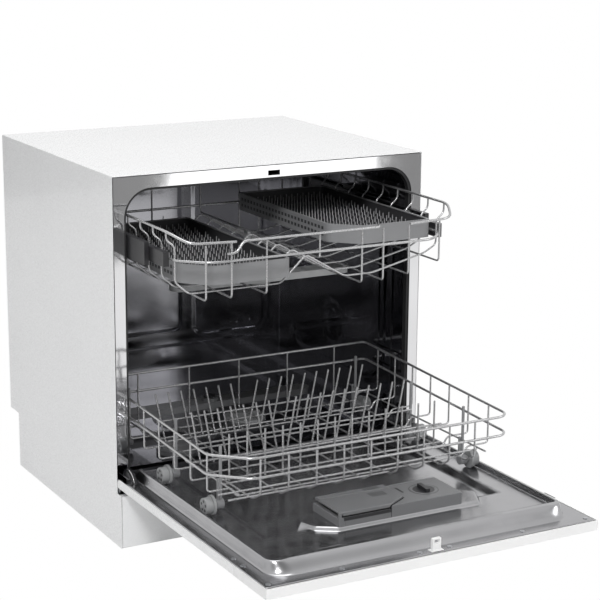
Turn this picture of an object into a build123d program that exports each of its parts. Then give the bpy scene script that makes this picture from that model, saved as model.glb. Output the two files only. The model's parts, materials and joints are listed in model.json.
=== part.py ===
"""Free-standing table-top dishwasher, door open and both baskets part way out.

Millimetres, +Z up, X to the right seen from the front, +Y to the back.
The case is laid out from y = 0, the front plane of the tub flange, and z = 0, the worktop.
Door pieces are drawn closed and then turned about the hinge pins to the open pose.
"""
from build123d import *
import math
import os

os.makedirs("parts", exist_ok=True)

# Case
CASE_W = 550.0
CASE_D = 480.0
CASE_TOP = 595.0
FOOT_H = 8.0
FOOT_R = 15.0
STUD_R = 4.0
SHEET = 0.8
TOP_SHEET = 1.2
HALF = CASE_W / 2
SIDE_IN = HALF - SHEET
FIT_GAP = 0.8
PLINTH_TOP = 95.0
PLINTH_Y = -16.0
RECESS_D = 40.0
RECESS_TOP = PLINTH_TOP + 10.0
RECESS_Y = CASE_D - RECESS_D
ROOF_Z = CASE_TOP - TOP_SHEET

# Base tray and kick plate
TRAY_T = 2.5
TRAY_WALL_TOP = 45.0
TRAY_FRONT = -12.0
KICK_T = 1.2
KICK_LIP = 12.0
FOOT_INSET_X = 40.0
FOOT_FRONT_Y = 30.0
FOOT_REAR_Y = RECESS_Y - 30.0
BOSS_H = 14.0

# Tub
TUB_SIDE_GAP = 19.0
TUB_HALF = HALF - TUB_SIDE_GAP
TUB_TOP = CASE_TOP - 21.0
TUB_R = 45.0
TUB_REAR = CASE_D - 25.0
TUB_T = 1.2
PIVOT_Z = PLINTH_TOP + 16.0
TRACK_Z = PIVOT_Z + 18.0
TRACK_W = 48.0
TRACK_X = TUB_HALF - TRACK_W
FLOOR_DROP = 14.0
FLOOR_Z = TRACK_Z - FLOOR_DROP
FLOOR_X = TRACK_X - 4.0
FLANGE_T = 1.5
FLANGE_TOP = CASE_TOP - 2.0
FLANGE_FOOT = TRACK_Z + 11.0
FLANGE_HALF = SIDE_IN - FIT_GAP
SILL_Y = 16.0
SILL_FOOT = PIVOT_Z - 13.0
PAN_BAY_TOP = TRACK_Z + 1.0
TUB_WALL_OUT = TUB_HALF + TUB_T

# Lock
LOCK_SLOT_W = 21.0
LOCK_SLOT_H = 8.0
LOCK_SLOT_Z = CASE_TOP - 14.0
LOCK_W = 70.0
LOCK_D = 43.0
LOCK_WALL = 1.5
HOOK_T = 6.0
HOOK_PIN_R = 1.2
HOOK_PIN_Y = 25.0

# Door, drawn closed
PIVOT_Y = -14.0
PIN_R = 2.25
EAR_R = 4.7
DOOR_BOTTOM = PLINTH_TOP + 4.0
DOOR_TOP = CASE_TOP - 1.0
DOOR_FACE = -20.0
DOOR_RIM = -5.0
CONTROL_H = 97.0
DOOR_SEAM = DOOR_TOP - CONTROL_H
SEAM_GAP = 0.6
SHELL_T = 1.0
DOOR_CHAMFER = 5.0
PANEL_T = 2.2
RIM_T = 0.8
RIM_GAP = 1.3
RIM_TOP_GAP = 4.0
HINGE_NOTCH = 25.5
PAN_HALF = TUB_HALF - 5.0
PAN_TOP = DOOR_TOP - 27.0
PAN_BOTTOM = DOOR_BOTTOM + 1.0
PAN_R = 36.0
PAN_RISE = 17.0
PAN_DRAFT = 3.0
LIP_W = 9.0
TRACK_RISE = TRACK_Z - (PIVOT_Z + DOOR_RIM - PIVOT_Y)
PAN_FLOOR_RISE = 1.2
RAMP = 18.0
DOOR_REACH = DOOR_TOP - PIVOT_Z - PIVOT_Y

# Hinge
HORN_R = 23.0
COVER_R = 26.0
COVER_T = 4.3
COVER_GAP = 0.3
LEVER_X = TUB_WALL_OUT + 0.2 + COVER_T + COVER_GAP
LEVER_T = 3.0
LEVER_TOP = PIVOT_Z + 149.0
EAR_X = LEVER_X + 6.5
EAR_T = 3.0
SPRING_R = 5.0
SPRING_WIRE = 0.8
SPRING_TURNS = 20
SPRING_PITCH = 6.0
SPRING_START = 80.0
HOOK_OFF_Y = -12.0
HOOK_OFF_Z = 14.0

# Door fittings
SCREW_R = 3.6
SCREW_HEAD = 0.9
SCREW_SHANK_R = 1.4
SCREW_SHANK = 2.0
SCREW_SIDE_X = HALF - 11.0
SCREW_X = [-SCREW_SIDE_X, -150.0, -25.0, 25.0, 150.0, SCREW_SIDE_X]
SCREW_ROW_Z = DOOR_TOP - 16.0
SIDE_SCREW_Z = [DOOR_SEAM - 20.0, DOOR_SEAM + 8.0]
STRIKER_W = 14.0
STRIKER_T = 5.0
STRIKER_H = 19.0
BUTTON_R = 8.0
BUTTON_TRAVEL = 1.5
BUTTON_GAP = 0.3
BUTTON_Z = DOOR_TOP - 20.0
BUTTON_X = {"power": 70.0 - HALF, "program": HALF - 125.0, "start": HALF - 70.0}
GRIP_HALF = 62.0
GRIP_LOW = DOOR_TOP - 49.0
GRIP_HIGH = DOOR_TOP - 8.0
GRIP_DEPTH = 11.0
WINDOW_X0 = HALF - 190.0
WINDOW_X1 = HALF - 147.0
WINDOW_Z0 = DOOR_TOP - 32.0
WINDOW_Z1 = DOOR_TOP - 10.0
BOARD_X0 = HALF - 205.0
BOARD_X1 = HALF - 35.0
BOARD_Z0 = DOOR_TOP - 36.0
BOARD_Z1 = DOOR_TOP - 6.0

# Dispenser, drawn with the door closed
DISP_X0 = -94.0
DISP_X1 = 116.0
DISP_H = 76.0
DISP_Z1 = DOOR_SEAM - 24.0
DISP_Z0 = DISP_Z1 - DISP_H
DISP_TOP = 27.0
DISP_WALL = 5.0
DISP_BACK = -17.0
DISP_SEAT_RISE = 12.0
CUP_X1 = -2.0
CUP_FLOOR = -8.0
LID_T = 3.0
LID_X1 = 8.0
LID_SLANT = 20.0
LID_GAP = 0.4
LID_PIN_R = 1.2
# The lid ends this far from the unit's rear and front edges, clear of the basket above the rear one
LID_BACK = 15.0
LID_FRONT = 7.0
CAP_X = 72.0
CAP_Z = DISP_Z1 - 37.0
CAP_R = 17.0
CAP_GAP = 0.5
CAP_H = 8.0
CAP_STEM_R = 5.0
RECESS_END = DISP_Z1 + 7.0
CENTRE_END = RECESS_END - 30.0

# Lower basket
WIRE = 1.5
RIM_WIRE = 2.2
LOW_HALF = TUB_HALF - 9.0
LOW_FRONT = -310.0
LOW_DEPTH = 435.0
LOW_FLOOR_Z = TRACK_Z + 31.0
LOW_RIM_Z = LOW_FLOOR_Z + 86.0
LOW_RIM2_Z = LOW_RIM_Z - 30.0
LOW_RIM_DROP = 13.0
LOW_SHOULDER_Z = LOW_FLOOR_Z + 14.0
LOW_SHOULDER_X = LOW_HALF - 42.0
LOW_CORNER = 48.0
LOW_RIGHT_CORNER = 14.0
HOOP_PITCH = 55.0
HOOP_START = 54.0
FRONT_WIRES_Z = [LOW_FLOOR_Z + 26.0, LOW_FLOOR_Z + 16.0]
FRONT_RISE = 13.0
LONG_PITCH = 46.0
TINE_PITCH = 22.0
TINE_LEAN = 16.0
TINE_SPLIT_X = -45.0
SHORT_PITCH = 30.0
SHORT_ROW_Y = -200.0
LONG_ROW_Y = -110.0
REAR_ROW_Y = 20.0
WHEEL_Y = [-232.0, -80.0, 97.0]
WHEEL_R = 14.5
WHEEL_GAP = 0.3
WHEEL_FLANGE_T = 4.0
WHEEL_CUP_R = 12.0
WHEEL_CUP_T = 11.0
WHEEL_WEB = 1.5
AXLE_R = 2.5
RUN_FIT = 0.08
RUNNER_X = LOW_HALF - 35.5
CARRIER_T = 9.0
CARRIER_X = RUNNER_X - CARRIER_T / 2
CARRIER_HALF = 8.0
WHEEL_X = CARRIER_X + CARRIER_T + 7.0

# Upper basket
UP_HALF = TUB_HALF - 11.0
UP_FRONT = -165.0
UP_DEPTH = 418.0
UP_RIM_Z = TUB_TOP - 42.0
UP_MID_Z = UP_RIM_Z - 17.0
UP_RIM2_Z = UP_RIM_Z - 45.0
UP_STEP_X = UP_HALF - 17.0
UP_LOW_Z = UP_RIM_Z - 99.0
UP_CREST_Z = UP_LOW_Z + 40.0
UP_CORNER = 40.0
UP_HOOP_PITCH = 46.0
TRAY_WALL = 1.8
TRAY_H = 29.0
TRAY_CUT = 40.0
LEFT_TRAY = (16.0 - UP_STEP_X, -44.0, -138.0, 225.0, UP_LOW_Z + 13.0)
RIGHT_TRAY = (56.0, UP_STEP_X - 6.0, -112.0, 235.0, UP_CREST_Z + 5.0)
SPIKE_R = 1.3
SPIKE_H = 22.0
SPIKE_PITCH_X = 22.0
SPIKE_PITCH_Y = 30.0
RAIL_X = TUB_HALF - 12.5
RAIL_W = 7.5
RAIL_Z0 = UP_RIM_Z - 63.0
RAIL_H = 36.0
RAIL_T = 1.5
RAIL_FRONT = -62.0
RAIL_L = 410.0
ROLLER_GAP = 0.45
ROLLER_R = RAIL_H / 2 - RAIL_T - ROLLER_GAP
ROLLER_T = 4.0
ROLLER_Y = -5.0
HOLDER_FRONT = -112.0
ROLLER_AXLE = 2.5
HOLDER_T = 2.5

# Wash system
ARM_Y = 235.0
ARM_LOW_L = 196.0
ARM_LOW_Z = FLOOR_Z + 20.0
ARM_UP_Y = 45.0
ARM_UP_L = 160.0
ARM_UP_Z = UP_LOW_Z - 35.0
ARM_W = 34.0
ARM_T = 11.0
ARM_BORE = 8.0
SUMP_R = 100.0
SUMP_T = 3.0
SUMP_FLOOR = FLOOR_Z - 51.0
CUP_R = 34.0
CUP_DX = 52.0
CUP_DY = -34.0
FILTER_T = 1.5
SALT_X = -130.0
SALT_Y = 92.0
SALT_R = 30.0
SALT_H = 8.0
PIPE_R = 7.0
PIPE_WALL = 1.5
FEED_X = (TUB_WALL_OUT + SIDE_IN) / 2
FEED_Y = TUB_REAR + TUB_T + 10.0
DOCK_Z = UP_LOW_Z - 15.0
INLET_X = -180.0
INLET_R = 13.2
INLET_L = 18.0
DRAIN_X = 190.0
DRAIN_R = 9.5
DRAIN_L = 30.0
STUB_ROOT = 0.6
GLAND_X = 158.0
GLAND_R = 8.0
SERVICE_Z = 60.0
PUMP_Y = RECESS_Y - 38.0
PUMP_Z = SERVICE_Z + 6.0
MOTOR_R = 30.0
VOLUTE_R = 34.0
HEATER_R = 15.0

# The whole part is moved back so that the open machine is centred on y = 0.
FRAME_Y = (DOOR_REACH - CASE_D) / 2


def block(x0, x1, y0, y1, z0, z1):
    """A box given by its limits."""
    return Pos((x0 + x1) / 2, (y0 + y1) / 2, (z0 + z1) / 2) * Box(x1 - x0, y1 - y0, z1 - z0)


def disc_x(x0, x1, y, z, radius):
    """A cylinder along X."""
    return Pos((x0 + x1) / 2, y, z) * Rot(0, 90, 0) * Cylinder(radius, x1 - x0)


def disc_y(x, y0, y1, z, radius):
    """A cylinder along Y."""
    return Pos(x, (y0 + y1) / 2, z) * Rot(90, 0, 0) * Cylinder(radius, y1 - y0)


def disc_z(x, y, z0, z1, radius):
    """An upright cylinder."""
    return Pos(x, y, (z0 + z1) / 2) * Cylinder(radius, z1 - z0)


def plate_x(points, x0, x1):
    """A plate across X whose outline is drawn in (y, z)."""
    face = make_face(Polyline(*points, close=True))
    return extrude(Plane.YZ.offset(x0) * face, amount=x1 - x0)


def plate_y(face, y0, y1):
    """A plate across Y whose face is drawn in (x, z)."""
    return extrude(Plane.XZ.offset(-y0) * face, amount=-(y1 - y0))


def outline(points):
    """A flat face with straight sides."""
    return make_face(Polyline(*points, close=True))


def arch(half, bottom, top, radius):
    """A flat face with a square foot and rounded top corners."""
    shoulder = top - radius
    crown = half - radius
    edges = [
        Line((-half, shoulder), (-half, bottom)),
        Line((-half, bottom), (half, bottom)),
        Line((half, bottom), (half, shoulder)),
        CenterArc((crown, shoulder), radius, 0, 90),
        Line((crown, top), (-crown, top)),
        CenterArc((-crown, shoulder), radius, 90, 90),
    ]
    return make_face(edges)


def both_sides(shape):
    """A shape and its mirror image across the middle plane."""
    return [shape, mirror(shape, about=Plane.YZ)]


def rod(start, end, radius, reach=0.0, lead=0.0):
    """A straight round wire, lengthened at either end."""
    axis = Vector(*end) - Vector(*start)
    way = axis.normalized()
    foot = Vector(*start) - way * lead
    length = axis.length + lead + reach
    round_bar = Cylinder(radius, length, align=(Align.CENTER, Align.CENTER, Align.MIN))
    return Plane(origin=foot, z_dir=way) * round_bar


def bend_reach(before, corner, after, radius):
    """How far a run passes a bend so that the outer sides of two runs meet."""
    one = (Vector(*corner) - Vector(*before)).normalized()
    two = (Vector(*after) - Vector(*corner)).normalized()
    turn = math.acos(max(-1.0, min(1.0, one.dot(two))))
    return radius * math.tan(min(turn, 2.4) / 2)


def wire(points, radius=WIRE):
    """A bent wire as its straight runs."""
    runs = []
    last = len(points) - 1
    for index in range(last):
        lead = 0.0
        reach = 0.0
        if index > 0:
            lead = bend_reach(points[index - 1], points[index], points[index + 1], radius)
        if index + 1 < last:
            reach = bend_reach(points[index], points[index + 1], points[index + 2], radius)
        runs.append(rod(points[index], points[index + 1], radius, reach, lead))
    return runs


def tube(points, bend, outer, inner=0.0):
    """A pipe along a bent path."""
    path = FilletPolyline(*points, radius=bend)
    ring = Circle(outer)
    if inner > 0:
        ring = Circle(outer) - Circle(inner)
    return sweep(Plane(path @ 0, z_dir=path % 0) * ring, path=path)


def opened(shape):
    """Turns a closed door piece about the hinge pins to the open pose."""
    return Pos(0, PIVOT_Y, PIVOT_Z) * Rot(90, 0, 0) * Pos(0, -PIVOT_Y, -PIVOT_Z) * shape


def save(name, *shapes):
    """Writes one node, with its separate solids kept apart."""
    solids = [solid for shape in shapes for solid in shape.solids()]
    export_step(Pos(0, FRAME_Y, 0) * Compound(children=solids), f"parts/{name}.step")


def save_door(name, *shapes):
    """Writes one node of the door."""
    save(name, *[opened(shape) for shape in shapes])


# Case

def side_panel():
    """Right side sheet with the forward step at the plinth and the hose notch at the back."""
    profile = [
        (PLINTH_Y, FOOT_H),
        (PLINTH_Y, PLINTH_TOP),
        (0, PLINTH_TOP),
        (0, ROOF_Z),
        (CASE_D, ROOF_Z),
        (CASE_D, RECESS_TOP),
        (RECESS_Y, RECESS_TOP),
        (RECESS_Y, FOOT_H),
    ]
    sheet = plate_x(profile, SIDE_IN, HALF)
    fold = block(SIDE_IN - 12, SIDE_IN + 0.1, 4, CASE_D - 2, ROOF_Z - SHEET, ROOF_Z)
    return sheet + fold


def top_panel():
    """Top sheet with a folded rear edge."""
    roof = block(-HALF, HALF, 0, CASE_D, ROOF_Z, CASE_TOP)
    rear_edge = block(-SIDE_IN + 1, SIDE_IN - 1, CASE_D - SHEET, CASE_D, ROOF_Z - 15, ROOF_Z + 0.1)
    return roof + rear_edge


def rear_panel():
    """Rear sheet with the service recess at its foot, open where the pipes pass."""
    wide = SIDE_IN - 0.4
    back = block(-wide, wide, CASE_D - SHEET, CASE_D, RECESS_TOP, ROOF_Z - 15.5)
    shelf = block(-wide, wide, RECESS_Y, CASE_D, RECESS_TOP, RECESS_TOP + SHEET)
    low = block(-wide, wide, RECESS_Y, RECESS_Y + SHEET, FOOT_H + TRAY_T, RECESS_TOP + SHEET)
    sheet = back + shelf + low
    for x, radius in ((INLET_X, INLET_R), (DRAIN_X, DRAIN_R), (GLAND_X, GLAND_R)):
        sheet -= disc_y(x, RECESS_Y - 2, RECESS_Y + 2, SERVICE_Z, radius + 0.3)
    return sheet


def foot_places():
    """Centres of the four feet."""
    side = HALF - FOOT_INSET_X
    return [(x, y) for x in (-side, side) for y in (FOOT_FRONT_Y, FOOT_REAR_Y)]


def base_tray():
    """Moulded tray with foot bosses and posts for the pumps."""
    out = SIDE_IN - 2.2
    rear = RECESS_Y - 2
    tray = block(-out, out, TRAY_FRONT, rear, FOOT_H, TRAY_WALL_TOP)
    low = FOOT_H + TRAY_T
    tray -= block(-out + TRAY_T, out - TRAY_T, TRAY_FRONT + TRAY_T, rear - TRAY_T, low, TRAY_WALL_TOP + 1)
    for x in (INLET_X, DRAIN_X, GLAND_X):
        tray -= block(x - 20, x + 20, rear - TRAY_T - 1, rear + 1, SERVICE_Z - 25, TRAY_WALL_TOP + 1)
    for x, y in foot_places():
        tray += disc_z(x, y, low - 0.1, low + BOSS_H, STUD_R + 5)
        tray -= disc_z(x, y, FOOT_H - 1, low + BOSS_H + 1, STUD_R + RUN_FIT)
    for x, radius in ((-150, MOTOR_R), (-115, MOTOR_R), (0, HEATER_R), (80, HEATER_R)):
        tray += block(x - 4, x + 4, PUMP_Y - 1, PUMP_Y + 1, low - 0.1, PUMP_Z - radius - 0.2)
    return tray


def kick_plate():
    """Front plinth sheet with a folded top edge."""
    wide = SIDE_IN - 0.5
    face = block(-wide, wide, PLINTH_Y, PLINTH_Y + KICK_T, FOOT_H + 2, PLINTH_TOP - 1)
    lip = block(-wide, wide, PLINTH_Y, PLINTH_Y + KICK_LIP, PLINTH_TOP - 1 - KICK_T, PLINTH_TOP - 1)
    return face + lip


def feet():
    """Four pads with their screw studs."""
    pieces = []
    for x, y in foot_places():
        pad = disc_z(x, y, 0, FOOT_H, FOOT_R)
        pieces.append(pad + disc_z(x, y, FOOT_H - 0.1, FOOT_H + BOSS_H, STUD_R))
    return pieces


# Tub

def tub():
    """Steel tub: rounded mouth, stepped floor with two wheel tracks, and a front flange."""
    floor_out = FLOOR_Z - TUB_T
    track_out = TRACK_Z - TUB_T
    skin = plate_y(arch(TUB_WALL_OUT, track_out, TUB_TOP + TUB_T, TUB_R + TUB_T), 0.5, TUB_REAR + TUB_T)
    low_out = outline([
        (-TRACK_X - TUB_T, TRACK_Z), (-FLOOR_X - TUB_T, floor_out),
        (FLOOR_X + TUB_T, floor_out), (TRACK_X + TUB_T, TRACK_Z),
    ])
    skin += plate_y(low_out, SILL_Y, TUB_REAR + TUB_T)
    room = plate_y(arch(TUB_HALF, TRACK_Z, TUB_TOP, TUB_R), -1, TUB_REAR)
    low_in = outline([
        (-TRACK_X, TRACK_Z + 0.1), (-FLOOR_X, FLOOR_Z),
        (FLOOR_X, FLOOR_Z), (TRACK_X, TRACK_Z + 0.1),
    ])
    room += plate_y(low_in, SILL_Y + TUB_T, TUB_REAR)
    shell = skin - room
    shell -= block(-TUB_HALF, TUB_HALF, 0, SILL_Y, SILL_FOOT, PAN_BAY_TOP)
    flange = block(-FLANGE_HALF, FLANGE_HALF, 0, FLANGE_T, FLANGE_FOOT, FLANGE_TOP)
    flange -= plate_y(arch(TUB_HALF, FLANGE_FOOT - 1, TUB_TOP, TUB_R), -1, FLANGE_T + 1)
    slot = block(-LOCK_SLOT_W / 2, LOCK_SLOT_W / 2, -1, FLANGE_T + 1,
                 LOCK_SLOT_Z - LOCK_SLOT_H / 2, LOCK_SLOT_Z + LOCK_SLOT_H / 2)
    shell += flange - slot
    sill = block(-TUB_WALL_OUT, TUB_WALL_OUT, SILL_Y, SILL_Y + TUB_T, SILL_FOOT, TRACK_Z - 0.5)
    sill -= block(-FLOOR_X, FLOOR_X, SILL_Y - 1, SILL_Y + TUB_T + 1, FLOOR_Z, TRACK_Z)
    cheek = block(TUB_HALF, TUB_WALL_OUT, 0.5, SILL_Y + 1, SILL_FOOT, TRACK_Z)
    for side in both_sides(cheek):
        shell += side
    shell += sill
    shell -= disc_z(0, ARM_Y, floor_out - 1, FLOOR_Z + 1, SUMP_R)
    shell -= disc_z(SALT_X, SALT_Y, floor_out - 1, FLOOR_Z + 1, SALT_R)
    shell -= disc_y(0, TUB_REAR - 1, TUB_REAR + TUB_T + 1, DOCK_Z, PIPE_R)
    return shell


def door_gasket():
    """Rubber seal round the mouth and the lower seal along the sill."""
    inner = TUB_HALF - 4
    ring = plate_y(arch(TUB_HALF, PAN_BAY_TOP, TUB_TOP, TUB_R), 2, 12)
    ring -= plate_y(arch(inner, PAN_BAY_TOP - 1, TUB_TOP - 4, TUB_R - 4), 1, 13)
    wide = TUB_HALF - 6
    strip = block(-wide, wide, SILL_Y - 3, SILL_Y, SILL_FOOT, FLOOR_Z - 1)
    bulb = disc_x(-wide + 12, wide - 12, SILL_Y - 5.5, PIVOT_Z - 3, 2.6)
    return [ring, strip + bulb]


def door_lock():
    """Lock case behind the top of the flange, with the hook's pin."""
    foot = TUB_TOP + TUB_T + 0.5
    head = ROOF_Z - SHEET - 0.3
    case = block(-LOCK_W / 2, LOCK_W / 2, FLANGE_T, FLANGE_T + LOCK_D, foot, head)
    room_half = LOCK_SLOT_W / 2
    case -= block(-room_half, room_half, FLANGE_T + 2, FLANGE_T + LOCK_D - 2, foot + LOCK_WALL, head - LOCK_WALL)
    case -= block(-room_half, room_half, FLANGE_T - 1, FLANGE_T + 3,
                  LOCK_SLOT_Z - LOCK_SLOT_H / 2, LOCK_SLOT_Z + LOCK_SLOT_H / 2)
    pin_z = head - LOCK_WALL - 3.2
    return case + disc_x(-room_half - 1, room_half + 1, HOOK_PIN_Y, pin_z, HOOK_PIN_R)


def latch_hook():
    """Steel hook that drops behind the striker."""
    pin_z = ROOF_Z - SHEET - 0.3 - LOCK_WALL - 3.2
    profile = [
        (HOOK_PIN_Y + 3, pin_z - 2.4), (HOOK_PIN_Y + 3, pin_z + 2.4), (HOOK_PIN_Y - 14, pin_z + 1.2),
        (HOOK_PIN_Y - 17, pin_z - 4), (HOOK_PIN_Y - 14, pin_z - 4), (HOOK_PIN_Y - 12, pin_z - 1.4),
    ]
    hook = plate_x(profile, -HOOK_T / 2, HOOK_T / 2)
    return hook - disc_x(-HOOK_T, HOOK_T, HOOK_PIN_Y, pin_z, HOOK_PIN_R + RUN_FIT)


# Hinge

def hinge_bracket():
    """Right bracket: an ear with the pin, a plate on the base and the spring's rear post."""
    ear_end = EAR_X + EAR_T
    ear = disc_x(EAR_X, ear_end, PIVOT_Y, PIVOT_Z, EAR_R)
    ear += block(EAR_X, ear_end, PIVOT_Y, 20, PIVOT_Z - EAR_R + 1.5, PIVOT_Z + EAR_R)
    plate = block(EAR_X, ear_end, 2, 60, TRAY_WALL_TOP + 2, PIVOT_Z + EAR_R)
    rail = block(EAR_X, ear_end, 50, spring_end() + 14, TRAY_WALL_TOP + 32, TRAY_WALL_TOP + 46)
    post = block(EAR_X, ear_end, spring_end() + 2, spring_end() + 14, TRAY_WALL_TOP + 40, spring_z() + 6)
    pin = disc_x(LEVER_X - 0.5, EAR_X + 1, PIVOT_Y, PIVOT_Z, PIN_R)
    peg = disc_x(spring_x() - 1.4, EAR_X + 1, spring_end() + 8, spring_z(), 1.6)
    return ear + plate + rail + post + pin + peg


def spring_x():
    """Centre plane of the balance spring."""
    return LEVER_X + LEVER_T + 1.8


def spring_z():
    """Height of the balance spring."""
    return PIVOT_Z + HOOK_OFF_Z


def spring_end():
    """Rear end of the coils."""
    return SPRING_START + SPRING_TURNS * SPRING_PITCH


def door_spring():
    """Right balance spring: its coils, the long hook to the horn and the rear eye."""
    x = spring_x()
    z = spring_z()
    path = Helix(SPRING_PITCH, SPRING_TURNS * SPRING_PITCH, SPRING_R - SPRING_WIRE)
    coil = sweep(Plane(path @ 0, z_dir=path % 0) * Circle(SPRING_WIRE), path=path)
    coil = Pos(x, SPRING_START, z) * Rot(-90, 0, 0) * coil
    hook_y = PIVOT_Y + HOOK_OFF_Y
    long_hook = disc_y(x, hook_y, SPRING_START + 4, z, SPRING_WIRE)
    cross = disc_x(LEVER_X + 0.4, x + SPRING_WIRE, hook_y, z, SPRING_WIRE)
    crank = disc_z(x, SPRING_START + 3.2, z - 0.2, z + SPRING_R, SPRING_WIRE)
    eye_y = spring_end()
    tail = disc_z(x, eye_y, z, z + SPRING_R, SPRING_WIRE)
    reach = disc_y(x, eye_y - 0.6, eye_y + 5.8, z, SPRING_WIRE)
    return [coil, long_hook + cross + crank, tail + reach]


def hinge_lever():
    """Right lever, drawn closed: a plate on the pin, a foot on the rim and the spring's horn."""
    end = LEVER_X + LEVER_T
    rim_in = DOOR_RIM - RIM_T - 0.1
    arm = disc_x(LEVER_X, end, PIVOT_Y, PIVOT_Z, EAR_R)
    arm += block(LEVER_X, end, PIVOT_Y - EAR_R + 0.2, rim_in, PIVOT_Z, LEVER_TOP)
    foot = block(LEVER_X - 8, end, rim_in - 1.5, rim_in, PIVOT_Z + 30, LEVER_TOP)
    horn = disc_x(LEVER_X, end, PIVOT_Y, PIVOT_Z, HORN_R)
    horn &= block(LEVER_X - 1, end + 1, PIVOT_Y, PIVOT_Y + HORN_R, PIVOT_Z, PIVOT_Z + HORN_R)
    lever = arm + foot + horn
    lever -= disc_x(LEVER_X - 1, end + 1, PIVOT_Y, PIVOT_Z, PIN_R + RUN_FIT)
    hole_y = PIVOT_Y + HOOK_OFF_Z
    hole_z = PIVOT_Z - HOOK_OFF_Y
    return lever - disc_x(LEVER_X - 1, end + 1, hole_y, hole_z, SPRING_WIRE + 1.4)


def hinge_cover():
    """Right round cover beside the lever, drawn closed: a half disc behind the rim plane."""
    start = LEVER_X - COVER_GAP - COVER_T
    disc = disc_x(start, LEVER_X - COVER_GAP, PIVOT_Y, PIVOT_Z, COVER_R)
    disc &= block(start - 1, LEVER_X, DOOR_RIM + 0.2, PIVOT_Y + COVER_R + 1,
                  PIVOT_Z - COVER_R - 1, PIVOT_Z + COVER_R + 1)
    return disc


# Door

def door_panel():
    """White outer skin of the door below the control panel, drawn closed."""
    top = DOOR_SEAM - SEAM_GAP / 2
    skin = block(-HALF, HALF, DOOR_FACE, DOOR_RIM, DOOR_BOTTOM, top)
    skin -= block(-HALF + SHELL_T, HALF - SHELL_T, DOOR_FACE + SHELL_T, DOOR_RIM + 1, DOOR_BOTTOM + SHELL_T, top + 1)
    cut = [
        (DOOR_RIM - DOOR_CHAMFER, DOOR_BOTTOM - 0.1),
        (DOOR_RIM + 0.1, DOOR_BOTTOM - 0.1),
        (DOOR_RIM + 0.1, DOOR_BOTTOM + DOOR_CHAMFER),
    ]
    skin -= plate_x(cut, -HALF - 1, HALF + 1)
    notch = block(LEVER_X - 6, HALF - SHELL_T, DOOR_FACE + SHELL_T, DOOR_RIM + 1, DOOR_BOTTOM - 1, DOOR_BOTTOM + 4)
    for side in both_sides(notch):
        skin -= side
    return skin


def control_panel():
    """White top section of the door with the grip pocket and the button holes, drawn closed."""
    low = DOOR_SEAM + SEAM_GAP / 2
    box = block(-HALF, HALF, DOOR_FACE, DOOR_RIM, low, DOOR_TOP)
    box -= block(-HALF + PANEL_T, HALF - PANEL_T, DOOR_FACE + PANEL_T, DOOR_RIM + 1, low + PANEL_T, DOOR_TOP - PANEL_T)
    wall = 1.6
    pocket_out = block(-GRIP_HALF - wall, GRIP_HALF + wall, DOOR_FACE + 1, DOOR_FACE + GRIP_DEPTH + wall,
                       GRIP_LOW - wall, GRIP_HIGH + wall)
    pocket_in = block(-GRIP_HALF, GRIP_HALF, DOOR_FACE - 1, DOOR_FACE + GRIP_DEPTH, GRIP_LOW, GRIP_HIGH)
    box = box + pocket_out - pocket_in
    for x in BUTTON_X.values():
        box -= disc_y(x, DOOR_FACE - 1, DOOR_FACE + PANEL_T + 1, BUTTON_Z, BUTTON_R + BUTTON_GAP)
    box -= block(WINDOW_X0, WINDOW_X1, DOOR_FACE - 1, DOOR_FACE + 1, WINDOW_Z0, WINDOW_Z1)
    seat_half = HALF - RIM_GAP + 0.1
    seat_top = DOOR_TOP - RIM_TOP_GAP + 0.1
    return box - block(-seat_half, seat_half, DOOR_RIM - RIM_T - 0.05, DOOR_RIM + 1, low - 1, seat_top)


def button(x):
    """A round button with its retaining flange, drawn closed."""
    cap = disc_y(x, DOOR_FACE - 0.6, DOOR_FACE + 8, BUTTON_Z, BUTTON_R)
    back = DOOR_FACE + PANEL_T + 0.4
    return cap + disc_y(x, back, back + 1.5, BUTTON_Z, BUTTON_R + 2)


def control_board():
    """Circuit board behind the buttons, with a switch under each, drawn closed."""
    board = block(BOARD_X0, BOARD_X1, DOOR_RIM - RIM_T - 4, DOOR_RIM - RIM_T - 2.4, BOARD_Z0, BOARD_Z1)
    pieces = [board]
    for x in BUTTON_X.values():
        if x > 0:
            gap = DOOR_FACE + 8 + BUTTON_TRAVEL + 0.3
            pieces.append(disc_y(x, gap, DOOR_RIM - RIM_T - 4, BUTTON_Z, 3))
    return pieces


def pan_body(shrink):
    """Raised part of the inner door, smaller by one sheet all round when shrink is set."""
    half = PAN_HALF - shrink
    radius = PAN_R - shrink
    base = DOOR_RIM - RIM_T
    top = DOOR_RIM + PAN_RISE - shrink
    body = plate_y(arch(half, PAN_BOTTOM + shrink, PAN_TOP - shrink, radius), base - shrink, top)
    slope = 1.0 * shrink
    near = [
        (base - 2, PAN_BOTTOM + slope),
        (DOOR_RIM, PAN_BOTTOM + slope),
        (DOOR_RIM + PAN_RISE + 1, PAN_BOTTOM + slope + PAN_RISE + 1),
        (DOOR_RIM + PAN_RISE + 1, PAN_TOP + 5),
        (base - 2, PAN_TOP + 5),
    ]
    return body & plate_x(near, -PAN_HALF - 1, PAN_HALF + 1)


def pan_hollow(half, rise, end, grow):
    """A hollow pressed into the pan, open at the hinge end and ramped at the far end."""
    low = DOOR_RIM + rise - grow
    top = DOOR_RIM + PAN_RISE + 2
    profile = [
        (low, PAN_BOTTOM - 5),
        (low, end - RAMP + grow),
        (DOOR_RIM + PAN_RISE, end + grow),
        (top, end + grow),
        (top, PAN_BOTTOM - 5),
    ]
    return plate_x(profile, -half - grow, half + grow)


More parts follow.
